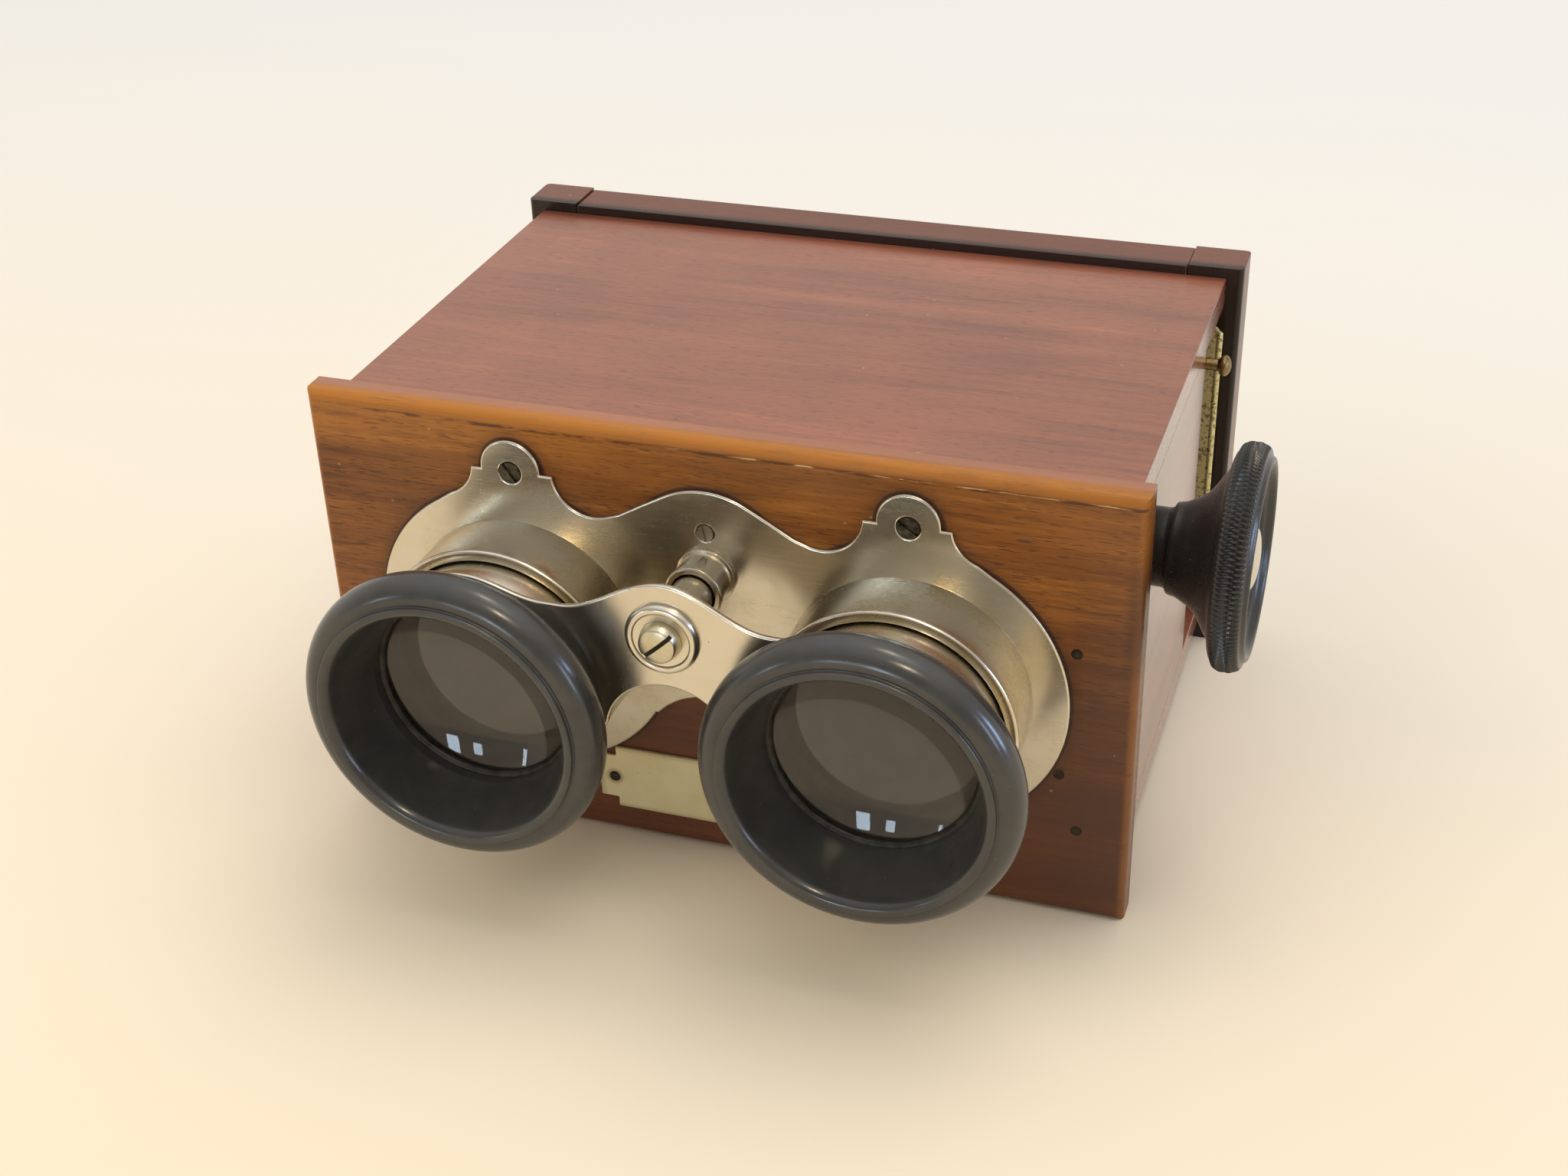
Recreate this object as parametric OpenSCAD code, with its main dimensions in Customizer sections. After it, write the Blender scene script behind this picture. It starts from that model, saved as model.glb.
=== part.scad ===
// Table stereoscope for 45 x 107 mm glass views: mahogany case, nickelled
// front fittings, ebonite eyecups and focusing wheel, rack and pinion focus.
// +X to the focusing wheel, +Y to the rear, +Z up. Origin on the table, at
// the middle of the front panel's bottom face.

/* [Case] */
// Width of the front panel
panel_w = 132; // [131.6:0.1:132.6]
// Width of the rear frame
frame_w = 132.8; // [132:0.1:133]
// Height of the front panel
panel_h = 75; // [74.6:0.1:76]
// Thickness of the front panel
panel_t = 5; // [4.6:0.1:5]
// Rounding of the front panel's front arrises
panel_round = 1.6; // [1:0.1:2]
// Width of the case behind the front panel
case_w = 127; // [126.6:0.1:127.4]
// Depth of the case between front panel and rear frame
case_d = 80.4; // [80:0.1:81]
// Underside of the case above the table
case_lift = 3.6; // [3:0.1:4]
// Top of the case above the table
case_top = 72.4; // [72:0.1:73]
// Thickness of the top and bottom boards
board_t = 5; // [4.6:0.1:5.2]
// Thickness of the side boards
side_t = 6; // [5.6:0.1:6]
// Height of the rear frame
frame_h = 74.2; // [73.8:0.1:74.8]
// Thickness of the rear frame
frame_t = 8.7; // [8:0.1:9.4]
// Width of the rear stiles
stile_w = 9.5; // [9:0.1:10]

/* [Optics] */
// Distance between the two lens axes
lens_gap = 63; // [62.8:0.1:63.2]
// Height of the lens axes
lens_h = 38; // [37.8:0.1:38.2]
// Radius of each lens
lens_r = 16.6; // [16.2:0.1:16.8]
// Radius of curvature of the lens faces
lens_curve = 75; // [60:1:120]
// Outer radius of the sliding inner tubes
tube_r = 17.6; // [17.5:0.02:17.7]
// Bore radius of the fixed outer barrels
barrel_bore = 17.9; // [17.86:0.02:17.96]
// Outer radius of the fixed outer barrels
barrel_r = 18.7; // [18.5:0.1:18.9]
// How far the barrels stand out of the front panel
barrel_out = 11.5; // [11:0.1:11.8]

/* [Bridge and eyecups] */
// Front face of the bridge plate ahead of the front panel's face
bridge_out = 19.3; // [19.2:0.1:19.8]
// Thickness of the bridge plate
bridge_t = 1; // [0.8:0.1:1]
// Radius of the bridge's round ends
bridge_end_r = 20.2; // [20:0.1:21]
// Radius to the middle of the eyecup's rolled rim
cup_ring_r = 21.2; // [20.8:0.1:21.4]
// Distance from the bridge to the middle of the rolled rim
cup_ring_h = 6.7; // [6.4:0.1:7.2]
// How much further the left eyecup is screwed out than the right one
cup_offset = 1; // [0:0.1:1.4]

/* [Focusing] */
// Gear module of rack and pinion
gear_m = 0.5; // [0.5:0.01:0.5]
// Teeth on the pinion
gear_z = 14; // [14:1:14]
// Height of the guide rod's axis
rod_h = 52.8; // [52.8:0.1:52.8]
// Radius of the guide rod
rod_r = 3.25; // [3.2:0.01:3.28]
// Radius of the focusing shaft
shaft_r = 1.5; // [1.48:0.01:1.5]
// Distance of the focusing shaft behind the middle of the front panel
shaft_y = 14.2; // [14:0.1:14.4]
// Largest radius of the focusing wheel
wheel_r = 17.1; // [16.8:0.1:17.2]

/* [Slide holder] */
// Length of a glass view
view_l = 107; // [107:1:107]
// Height of a glass view
view_h = 45; // [45:1:45]
// Front edge of the slide slot, behind the middle of the front panel
slot_y = 63.8; // [63.4:0.1:63.8]
// Rear face of the picture mask
mask_y = 77; // [76.8:0.1:77]
// Gap between mask and pressure plate with no view in it
rest_gap = 1.6; // [1.6:0.1:1.8]
// Side of each square picture window
window_s = 40; // [38:1:42]

/* [Plaque] */
// Width of the plaque
plaque_w = 41.6; // [40:0.1:41.6]
// Height of the plaque
plaque_h = 11.8; // [11:0.1:12]

/* [Hidden] */
$fn = 96;

yf = -panel_t / 2;                 // front face of the panel
yb = panel_t / 2;                  // rear face of the panel
yr = yb + case_d;                  // rear end of the case boards
lx = lens_gap / 2;
zi0 = case_lift + board_t;         // inside of the case
zi1 = case_top - board_t;
xi = case_w / 2 - side_t;
plate_t = 0.8;                     // nickelled plate
ybr = yf - bridge_out;             // front face of the bridge
ybb = ybr + bridge_t;
pitch_r = gear_m * gear_z / 2;
rack_z = rod_h + 2;                // pitch line of the rack
shaft_h = rack_z + pitch_r;
gear_pa = 25;                      // pressure angle
add = gear_m;                      // addendum
ded = 1.25 * gear_m;               // dedendum
play = 0.05;                       // half of the backlash
slide_z0 = lens_h - view_h / 2;    // a view rests here
slide_z1 = lens_h + view_h / 2;
plate_y = mask_y + rest_gap;       // front face of the pressure plate
bar_z0 = 63.1;
bar_z1 = 66.1;
stem_y = 65;
stem_z = 64.6;
win_x = frame_w / 2 - stile_w;
win_z0 = 15;
win_z1 = 61;

function arc(cx, cy, rx, ry, a0, a1, n) =
    [for (i = [0:n]) let (a = a0 + (a1 - a0) * i / n) [cx + rx * cos(a), cy + ry * sin(a)]];
function inv(a) = tan(a) * 180 / PI - a;

// an outline drawn in X and Z, from y0 to y1
module slab_y(y0, y1) {
    translate([0, y1, 0]) rotate([90, 0, 0]) linear_extrude(y1 - y0) children();
}
// an outline drawn in Y and Z, from x0 to x1
module slab_x(x0, x1) {
    translate([x0, 0, 0]) rotate([90, 0, 90]) linear_extrude(x1 - x0) children();
}
module box(a, b) { translate(a) cube([b[0] - a[0], b[1] - a[1], b[2] - a[2]]); }
module rod_y(x, z, r, y0, y1) { translate([x, y1, z]) rotate([90, 0, 0]) cylinder(r = r, h = y1 - y0); }
module rod_x(y, z, r, x0, x1) { translate([x0, y, z]) rotate([0, 90, 0]) cylinder(r = r, h = x1 - x0); }
module rod_z(x, y, r, z0, z1) { translate([x, y, z0]) cylinder(r = r, h = z1 - z0); }
// a turned piece about an axis along -Y: outline of radius and height, base at y
module turned(x, y, z) { translate([x, y, z]) rotate([90, 0, 0]) rotate_extrude() children(); }

// --- case -------------------------------------------------------------

module round_front(len, r, d) {
    polygon(concat([[-len / 2, d], [-len / 2, r]],
        arc(-len / 2 + r, r, r, r, 180, 270, 6), arc(len / 2 - r, r, r, r, 270, 360, 6),
        [[len / 2, d]]));
}

module front_panel() {
    color([0.52, 0.24, 0.08]) difference() {
        intersection() {
            translate([0, yf, 0]) linear_extrude(panel_h) round_front(panel_w, panel_round, panel_t);
            slab_x(-panel_w / 2, panel_w / 2)
                translate([yf, panel_h / 2]) rotate(-90) round_front(panel_h, panel_round, panel_t);
        }
        for (s = [-1, 1]) rod_y(s * lx, lens_h, barrel_r + 0.02, yf - 1, yb + 1);
        rod_y(0, rod_h, 4.22, yf - 1, yb + 1);
        for (p = plug_at) rod_y(p[0], p[1], 0.9, yf - 1, yf + 2);
    }
}
plug_at = [[58, 16.2], [54.9, 26.2], [56.8, 48.1], [-58, 16.2]];

module top_board() {
    color([0.46, 0.2, 0.12]) box([-case_w / 2, yb, zi1], [case_w / 2, yr, case_top]);
}
module bottom_board() {
    color([0.46, 0.2, 0.12]) box([-case_w / 2, yb, case_lift], [case_w / 2, yr, zi0]);
}
module left_board() {
    color([0.44, 0.19, 0.11]) box([-case_w / 2, yb, zi0], [-xi, yr, zi1]);
}
module right_board() {
    color([0.44, 0.19, 0.11]) difference() {
        box([xi, yb, zi0], [case_w / 2, slot_y, zi1]);
        rod_x(shaft_y, shaft_h, 2.8, xi - 1, case_w / 2 + 1);
    }
}
module septum() {
    color([0.08, 0.07, 0.07]) difference() {
        box([-1.25, 42, zi0], [1.25, mask_y - 1.8, zi1]);
        box([-2, 62.6, 62.4], [2, 68.6, zi1 + 1]);
    }
}
module picture_mask() {
    color([0.08, 0.07, 0.07]) difference() {
        box([-xi, mask_y - 1.8, zi0], [xi, mask_y, zi1]);
        for (s = [-1, 1])
            box([s * lx - window_s / 2, mask_y - 3, lens_h - window_s / 2],
                [s * lx + window_s / 2, mask_y + 1, lens_h + window_s / 2]);
        box([-xi - 1, mask_y - 3, 62.5], [-33.2, mask_y + 1, zi1 + 1]);
        for (p = pin_at) rod_y(p[0], p[1], 1.6, mask_y - 3, mask_y + 1);
    }
}
module slide_rail() {
    color([0.4, 0.18, 0.1]) difference() {
        box([-xi, mask_y, zi0], [xi, mask_y + 1.3, slide_z0]);
        for (p = pin_at) rod_y(p[0], p[1], 1.6, mask_y - 1, mask_y + 3);
    }
}
module slide_stop() {
    color([0.4, 0.18, 0.1]) box([-xi, mask_y, slide_z0], [-view_l / 2 - 0.5, mask_y + 1.3, 48]);
}
// shouldered pins that carry the pressure plate
pin_at = [[-30, 62.4], [50, 62.4], [-50, 12.4], [50, 12.4]];
module plate_pins() {
    color([0.72, 0.58, 0.28]) for (p = pin_at) {
        rod_y(p[0], p[1], 1.6, mask_y - 1.8, plate_y);
        rod_y(p[0], p[1], 1, plate_y, yr - 0.5);
    }
}

// --- rear frame -------------------------------------------------------

module frame_edge() {
    // rounded along the outer side, drawn in X and Y for the right stile
    polygon(concat([[0, 0], [0, frame_t]],
        arc(stile_w - 0.9, frame_t - 0.9, 0.9, 0.9, 90, 0, 4),
        arc(stile_w - 0.9, 0.9, 0.9, 0.9, 0, -90, 4)));
}
module stile() {
    color([0.34, 0.13, 0.09]) difference() {
        translate([frame_w / 2 - stile_w, yr, 0]) linear_extrude(frame_h) frame_edge();
        box([0, yr + frame_t - 3.6, win_z0 - 1.5], [win_x + 1.5, yr + frame_t + 1, win_z1 + 1.5]);
    }
}
module rear_stile_right() { stile(); }
module rear_stile_left() { mirror([1, 0, 0]) stile(); }
module rail(z0, z1) {
    x = frame_w / 2 - stile_w;
    color([0.36, 0.14, 0.09]) difference() {
        box([-x, yr, z0], [x, yr + frame_t, z1]);
        box([-win_x - 1.5, yr + frame_t - 3.6, win_z0 - 1.5], [win_x + 1.5, yr + frame_t + 1, win_z1 + 1.5]);
    }
}
module rear_rail_top() { rail(win_z1, frame_h - 0.3); }
module rear_rail_bottom() { rail(0.3, win_z0); }
module ground_glass() {
    color([0.85, 0.88, 0.86, 0.6])
        box([-win_x - 1.3, yr + frame_t - 3.6, win_z0 - 1.3], [win_x + 1.3, yr + frame_t - 1.8, win_z1 + 1.3]);
}
module glass_beads() {
    a = win_x + 1.5;
    c = win_z0 - 1.5;
    d = win_z1 + 1.5;
    y0 = yr + frame_t - 1.8;
    color([0.3, 0.12, 0.08]) {
        // upper and lower strips run through, the side strips stand between them
        for (z = [0, 1]) slab_x(-a, a)
            polygon(z == 0 ? [[y0, c], [y0, c + 2.6], [y0 + 0.6, c + 2.6], [y0 + 1.6, c + 1.4], [y0 + 1.6, c]]
                           : [[y0, d], [y0, d - 2.6], [y0 + 0.6, d - 2.6], [y0 + 1.6, d - 1.4], [y0 + 1.6, d]]);
        for (s = [-1, 1]) translate([0, 0, c + 2.6]) linear_extrude(d - c - 5.2)
            polygon([[s * a, y0], [s * (a - 2.6), y0], [s * (a - 2.6), y0 + 0.6], [s * (a - 1.4), y0 + 1.6], [s * a, y0 + 1.6]]);
    }
}

// --- nickelled front --------------------------------------------------

ear_z = 66.2;
ear_r = 4.9;
lobe_r = 24.8;
function flip(l) = [for (i = [len(l) - 1:-1:0]) [l[i][0], 2 * lens_h - l[i][1]]];
function both(l) = concat(l, [for (i = [len(l) - 2:-1:1]) [-l[i][0], l[i][1]]]);
// ear with its small shoulders and the hollow outside it, right side, upper
ear_side = concat([[24.54, 65.9]], arc(lx, ear_z, ear_r, ear_r, 183.5, -3.5, 22),
    arc(44.1, 66.5, 6.05, 6.05, 185.7, 250, 10));
plate_pts = both(concat(
    arc(0, 53.75, 13.25, 13.25, 90, 60.6, 10), [[14, 60.9]],
    arc(18.2, 66.2, 6.35, 6.35, 245.8, 355, 16), ear_side,
    arc(lx, lens_h, lobe_r, lobe_r, 59.2, -59.2, 40),
    [for (q = flip(ear_side)) if (q[0] > 26) q],
    arc(20.4, 10.2, 4.9, 4.9, 0, 75, 8),
    arc(lx, lens_h, lobe_r, lobe_r, 247.2, 210, 12),
    arc(0, 17.5, 12.5, 12.5, 39.8, 90, 10)));
module plate_outline() { polygon(plate_pts); }
screw_at = [[1, 65.7], [-1, 65.7], [1, 10.3], [-1, 10.3]];
module front_plate() {
    color([0.66, 0.62, 0.54]) difference() {
        slab_y(yf - plate_t, yf) plate_outline();
        for (s = [-1, 1]) rod_y(s * lx, lens_h, barrel_r + 0.02, yf - 2, yf + 1);
        rod_y(0, rod_h, 4.22, yf - 2, yf + 1);
        for (p = screw_at) translate([p[0] * lx, yf - plate_t - 0.01, p[1]]) rotate([-90, 0, 0])
            cylinder(r1 = 1.8, r2 = 1.12, h = plate_t + 0.02);
        rod_y(0, 60, 1.4, yf - 2, yf + 1);
    }
}
module plate_screws() {
    color([0.6, 0.57, 0.5]) {
        for (i = [0:3]) difference() {
            translate([screw_at[i][0] * lx, yf - plate_t, screw_at[i][1]]) rotate([-90, 0, 0])
                cylinder(r1 = 1.74, r2 = 1.06, h = plate_t);
            translate([screw_at[i][0] * lx, yf - plate_t, screw_at[i][1]]) rotate([0, 35 + 20 * i, 0])
                cube([6, 0.8, 0.5], center = true);
        }
        difference() {
            union() {
                rod_y(0, 60, 1.34, yf - plate_t - 0.25, yf);
            }
            translate([0, yf - plate_t - 0.25, 60]) rotate([0, 80, 0]) cube([4, 0.7, 0.4], center = true);
        }
    }
}

module barrel(s) {
    color([0.66, 0.62, 0.54]) turned(s * lx, yf, lens_h) polygon(concat(
        [[barrel_bore, -panel_t], [barrel_bore, barrel_out - 0.2], [barrel_bore + 0.2, barrel_out]],
        arc(barrel_r + 0.4, barrel_out - 0.5, 0.5, 0.5, 90, -80, 8),
        [[barrel_r + 0.6, barrel_out - 1.2], [barrel_r + 0.6, plate_t], [barrel_r, plate_t], [barrel_r, -panel_t]]));
}
module outer_barrel_left() { barrel(-1); }
module outer_barrel_right() { barrel(1); }

module guide_tube() {
    color([0.62, 0.57, 0.47]) difference() {
        turned(0, yf, rod_h) polygon([
            [3.55, -24.5], [3.55, 7], [4.2, 7], [4.5, 6.8], [4.5, 5.9], [4.2, 5.7],
            [4.2, plate_t + 1], [4.7, plate_t + 0.8], [4.7, plate_t], [4.2, plate_t], [4.2, -24.5]]);
        // the pinion reaches the rack here
        box([-2.7, shaft_y - 4.9, rod_h + 1], [2.7, shaft_y + 4.9, rod_h + 6]);
    }
}

module plaque() {
    w = plaque_w / 2;
    z0 = 5.4;
    z1 = z0 + plaque_h;
    color([0.86, 0.8, 0.6]) difference() {
        slab_y(yf - 0.6, yf) polygon([
            [-w, z0 + 1.8], [-w + 3, z0 + 1.8], [-w + 3, z0], [w - 3, z0], [w - 3, z0 + 1.8], [w, z0 + 1.8],
            [w, z1 - 1.8], [w - 3, z1 - 1.8], [w - 3, z1], [-w + 3, z1], [-w + 3, z1 - 1.8], [-w, z1 - 1.8]]);
        for (s = [-1, 1]) rod_y(s * 18.2, z0 + plaque_h / 2, 0.7, yf - 2, yf + 1);
    }
}
module plaque_pins() {
    color([0.15, 0.13, 0.11]) for (s = [-1, 1]) {
        rod_y(s * 18.2, 5.4 + plaque_h / 2, 0.7, yf - 0.6, yf);
        turned(s * 18.2, yf - 0.6, 5.4 + plaque_h / 2) polygon([[0, 0], [0.95, 0], [0.8, 0.2], [0.4, 0.35], [0, 0.4]]);
    }
}
module nail_plugs() {
    color([0.13, 0.06, 0.03]) for (p = plug_at) rod_y(p[0], p[1], 0.9, yf + 0.1, yf + 2);
}

// --- works inside the case -------------------------------------------

module shaft_bracket() {
    color([0.72, 0.58, 0.28]) difference() {
        union() {
            box([-11, yb, 47], [11, yb + 0.9, 65]);
            for (s = [-1, 1]) {
                x0 = s > 0 ? 5.6 : -6.6;
                box([x0, yb + 0.9, shaft_h - 3.2], [x0 + 1, shaft_y, shaft_h + 3.2]);
                rod_x(shaft_y, shaft_h, 3.2, x0, x0 + 1);
            }
        }
        rod_y(0, rod_h, 4.22, yb - 1, yb + 2);
        rod_x(shaft_y, shaft_h, shaft_r + 0.05, -8, 8);
        for (s = [-1, 1]) for (z = [49.5, 62.5]) rod_y(s * 8.8, z, 0.9, yb - 1, yb + 2);
    }
}
module bracket_screws() {
    color([0.68, 0.55, 0.27]) for (s = [-1, 1]) for (z = [49.5, 62.5]) difference() {
        union() {
            rod_y(s * 8.8, z, 0.88, yb, yb + 0.9);
            rod_y(s * 8.8, z, 1.6, yb + 0.9, yb + 1.7);
        }
        translate([s * 8.8, yb + 1.7, z]) rotate([0, 25 * s, 0]) cube([4, 0.7, 0.4], center = true);
    }
}
module shaft_bush() {
    color([0.72, 0.58, 0.28]) difference() {
        union() {
            rod_x(shaft_y, shaft_h, 2.8, xi, case_w / 2);
            rod_x(shaft_y, shaft_h, 4, xi - 0.7, xi);
        }
        rod_x(shaft_y, shaft_h, shaft_r + 0.06, xi - 2, case_w / 2 + 1);
    }
}
module ejector_guides() {
    color([0.72, 0.58, 0.28]) for (x = [-12, 24]) difference() {
        box([x, 63.4, 61.9], [x + 4, 67.6, zi1]);
        box([x - 1, 64.2, 62.8], [x + 5, 66.8, 66.4]);
    }
}

// --- carriage ---------------------------------------------------------

function crest(x) = x < 16.5 ? 55.5 + 6 * (0.5 + 0.5 * cos(180 * x / 16.5))
    : x < 19 ? 55.5
    : 55.5 + (lens_h + bridge_end_r - 55.5) * (0.5 - 0.5 * cos(180 * (x - 19) / (lx - 19)));
bridge_pts = both(concat(
    [for (i = [0:24]) [lx * i / 24, crest(lx * i / 24)]],
    arc(lx, lens_h, bridge_end_r, bridge_end_r, 85, -162.8, 60),
    arc(0, 34.3, 10.05, 10.05, 10, 90, 14)));
module bridge_outline() { polygon(bridge_pts); }
module bridge_plate() {
    color([0.66, 0.62, 0.54]) difference() {
        slab_y(ybr, ybb) bridge_outline();
        for (s = [-1, 1]) rod_y(s * lx, lens_h, tube_r, ybr - 1, ybb + 1);
        rod_y(0, rod_h, 1.52, ybr - 1, ybb + 1);
    }
}
module inner_tube(s) {
    color([0.68, 0.64, 0.56]) turned(s * lx, ybr, lens_h) polygon([
        [16.9, 0], [16.9, -3.5], [16.6, -3.5], [15.9, -3.72], [15.9, -4.5], [16.9, -4.5], [16.9, -29.8], [tube_r, -29.8], [tube_r, 0]]);
}
module inner_tube_left() { inner_tube(-1); }
module inner_tube_right() { inner_tube(1); }
module lens_ring(s) {
    color([0.2, 0.19, 0.18]) turned(s * lx, ybr, lens_h) polygon([
        [15.4, -1.1], [15.4, -0.5], [15.9, 0], [16.9, 0], [16.9, -1.5], [16.6, -1.47]]);
}
module lens_ring_left() { lens_ring(-1); }
module lens_ring_right() { lens_ring(1); }
module lens(s) {
    edge = 2;
    sag = lens_curve - sqrt(lens_curve * lens_curve - lens_r * lens_r);
    y0 = ybr + 1.5;
    color([0.8, 0.85, 0.86, 0.5]) intersection() {
        rod_y(s * lx, lens_h, lens_r, y0 - sag - 1, y0 + edge + sag + 1);
        translate([s * lx, y0 - sag + lens_curve, lens_h]) rotate([90, 0, 0]) sphere(r = lens_curve, $fn = 200);
        translate([s * lx, y0 + edge + sag - lens_curve, lens_h]) rotate([90, 0, 0]) sphere(r = lens_curve, $fn = 200);
    }
}
module lens_left() { lens(-1); }
module lens_right() { lens(1); }

module eyecup(s, d) {
    h = cup_ring_h + d;
    f = h + 4.3;                   // front of the inner flare
    color([0.1, 0.1, 0.1]) turned(s * lx, ybr, lens_h) polygon(concat(
        [[16.3, 0], [16.4, f - 10], [16.7, f - 9], [17.2, f - 7.4], [17.65, f - 5.8], [18.05, f - 4.3],
         [18.35, f - 3], [18.6, f - 2], [18.82, f - 1.25], [19.08, f - 0.7], [19.4, f - 0.3], [19.75, f - 0.08],
         [20.1, f], [20.5, f], [20.66, f - 0.12], [20.72, f - 0.66], [20.8, f - 0.73]],
        arc(cup_ring_r, h, 3.06, 3.6, 95, -58, 24),
        arc(22.4, h - 5.2, 2.7, 2.1, 80, 180, 6),
        [[19.7, 0]]));
}
module eyecup_left() { eyecup(-1, cup_offset / 2); }
module eyecup_right() { eyecup(1, -cup_offset / 2); }

rack_p = gear_m * PI;
tip_half = rack_p / 4 - play - add * tan(gear_pa);
root_half = rack_p / 4 - play + ded * tan(gear_pa);
module guide_rod() {
    color([0.62, 0.57, 0.47]) difference() {
        rod_y(0, rod_h, rod_r, ybb, 30);
        rod_y(0, rod_h, 1.5, ybb - 1, ybb + 8);
        // flat, and the gaps between the rack's teeth
        box([-5, 2, rack_z + add], [5, 31, rod_h + 6]);
        for (k = [-8:7]) slab_x(-5, 5) translate([shaft_y + (k + 0.5) * rack_p, rack_z]) polygon([
            [-rack_p / 2 + tip_half - 0.0466, add + 0.1], [rack_p / 2 - tip_half + 0.0466, add + 0.1],
            [rack_p / 2 - root_half, -ded], [-rack_p / 2 + root_half, -ded]]);
    }
}
module bridge_washer() {
    color([0.66, 0.62, 0.54]) turned(0, ybr, rod_h) polygon([
        [1.52, 0], [5.8, 0], [5.8, 0.3], [5.6, 0.8], [5.35, 1.08], [5, 1.2], [4.7, 1.2], [4.45, 1.05], [4.35, 0.8], [1.52, 0.8]]);
}
module bridge_screw() {
    color([0.68, 0.64, 0.56]) difference() {
        union() {
            turned(0, ybr - 0.8, rod_h) polygon([[0, 0], [3.2, 0], [3.2, 0.5], [2.85, 1.75], [2.65, 1.95], [1.8, 2.2], [0.9, 2.32], [0, 2.35]]);
            rod_y(0, rod_h, 1.5, ybr - 0.8, ybb + 7);
        }
        translate([0, ybr - 3.3, rod_h]) rotate([0, -42, 0]) cube([8, 2.2, 0.7], center = true);
    }
}

// --- focusing drive ---------------------------------------------------

module focus_wheel() {
    color([0.1, 0.1, 0.1]) translate([0, shaft_y, shaft_h]) rotate([0, 90, 0]) rotate_extrude() polygon(concat(
        [[shaft_r, 63.8], [5.95, 63.8], [5.95, 66.3], [6.15, 66.8], [6.85, 67.1], [7.1, 68.3], [7.7, 69.5],
         [8.4, 70.7], [9.4, 71.8], [11.4, 73.1], [12.6, 73.9], [13.5, 74.4], [14.7, 74.6], [15.5, 75.0]],
        [[wheel_r - 0.7, 75.3], [wheel_r - 0.25, 75.8], [wheel_r - 0.06, 76.4], [wheel_r, 77], [wheel_r - 0.02, 77.7],
         [wheel_r - 0.13, 78.3], [wheel_r - 0.4, 78.85], [wheel_r - 0.9, 79.35]],
        [[15.4, 79.5], [15.2, 79.9], [14.8, 80.2], [14.3, 80.1], [13.9, 79.7], [13.6, 79.0], [13.0, 78.6],
         [11, 78.4], [4.9, 78.3], [shaft_r, 78.3]]));
}
module wheel_cap() {
    color([0.8, 0.78, 0.7]) translate([78.3, shaft_y, shaft_h]) rotate([0, 90, 0]) rotate_extrude()
        polygon(concat([[0, 0], [4.7, 0], [4.7, 0.5]], arc(0, 0.5, 4.7, 1.1, 10, 90, 8)));
}
module focus_shaft() {
    color([0.72, 0.7, 0.66]) rod_x(shaft_y, shaft_h, shaft_r, -9, 78.3);
}
module shaft_collar() {
    color([0.72, 0.58, 0.28]) difference() {
        rod_x(shaft_y, shaft_h, 2.7, -8.6, -6.8);
        rod_x(shaft_y, shaft_h, shaft_r, -9, -6);
    }
}
base_r = pitch_r * cos(gear_pa);
root_r = pitch_r - ded;
tip_r = pitch_r + add;
// half angle of a tooth at radius r
function half_at(r) = (PI * gear_m / 2 - 2 * play) / 2 / pitch_r * 180 / PI + inv(gear_pa)
    - (r > base_r ? inv(acos(base_r / r)) : 0);
function flank(c, s) = [for (k = [0:5]) let (r = base_r + (tip_r - base_r) * (s > 0 ? 5 - k : k) / 5, a = c + s * half_at(r))
    [r * cos(a), r * sin(a)]];
module focus_pinion() {
    step = 360 / gear_z;
    color([0.72, 0.58, 0.28]) difference() {
        slab_x(-2, 2) translate([shaft_y, shaft_h]) polygon([for (i = [0:gear_z - 1]) let (c = -90 + step / 2 + i * step)
            each concat([[root_r * cos(c - half_at(root_r) - 0.6), root_r * sin(c - half_at(root_r) - 0.6)]],
                flank(c, -1), flank(c, 1),
                [[root_r * cos(c + half_at(root_r) + 0.6), root_r * sin(c + half_at(root_r) + 0.6)]])]);
        rod_x(shaft_y, shaft_h, shaft_r, -3, 3);
    }
}

// --- slide ejector and pressure plate ---------------------------------

module ejector_bar() {
    color([0.74, 0.6, 0.3]) {
        union() {
            box([-55.6, 64.5, bar_z0], [37, 66.5, bar_z1]);
            box([-55.6, 64.5, bar_z0], [-54.4, mask_y + 1.3, bar_z1]);
            box([-55.6, mask_y + 0.2, 50], [-54.4, mask_y + 1.3, bar_z1]);
            rod_x(stem_y, stem_z, 1, 36, 65.4);
        }
    }
}
module ejector_knob() {
    color([0.62, 0.48, 0.24]) translate([65.4, stem_y, stem_z]) rotate([0, 90, 0]) rotate_extrude()
        polygon(concat([[0, 0], [1, 0]], arc(0, 1.1, 1.75, 1.1, -50, 90, 10)));
}
module pressure_plate() {
    color([0.7, 0.6, 0.34]) difference() {
        union() {
            box([-54, plate_y, 9.4], [58, plate_y + 0.8, 65.2]);
            box([57, plate_y, 14.4], [63.6, plate_y + 0.8, 63.7]);
            box([57, plate_y, 9.4], [58.6, plate_y + 0.8, 65.2]);
            // rounded corners at the slot, and the curled lip between them
            rod_y(58.6, 14.4, 5, plate_y, plate_y + 0.8);
            rod_y(62.1, 63.7, 1.5, plate_y, plate_y + 0.8);
            box([57, plate_y, 63.7], [62.1, plate_y + 0.8, 65.2]);
            rod_z(63.6, plate_y + 0.4, 0.6, 13, 63.7);
            for (z = [13, 63.7]) translate([63.6, plate_y + 0.4, z]) sphere(r = 0.6, $fn = 32);
        }
        for (s = [-1, 1])
            box([s * lx - window_s / 2, plate_y - 1, lens_h - window_s / 2],
                [s * lx + window_s / 2, plate_y + 2, lens_h + window_s / 2]);
        for (p = pin_at) rod_y(p[0], p[1], 1.3, plate_y - 1, plate_y + 2);
    }
}
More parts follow.
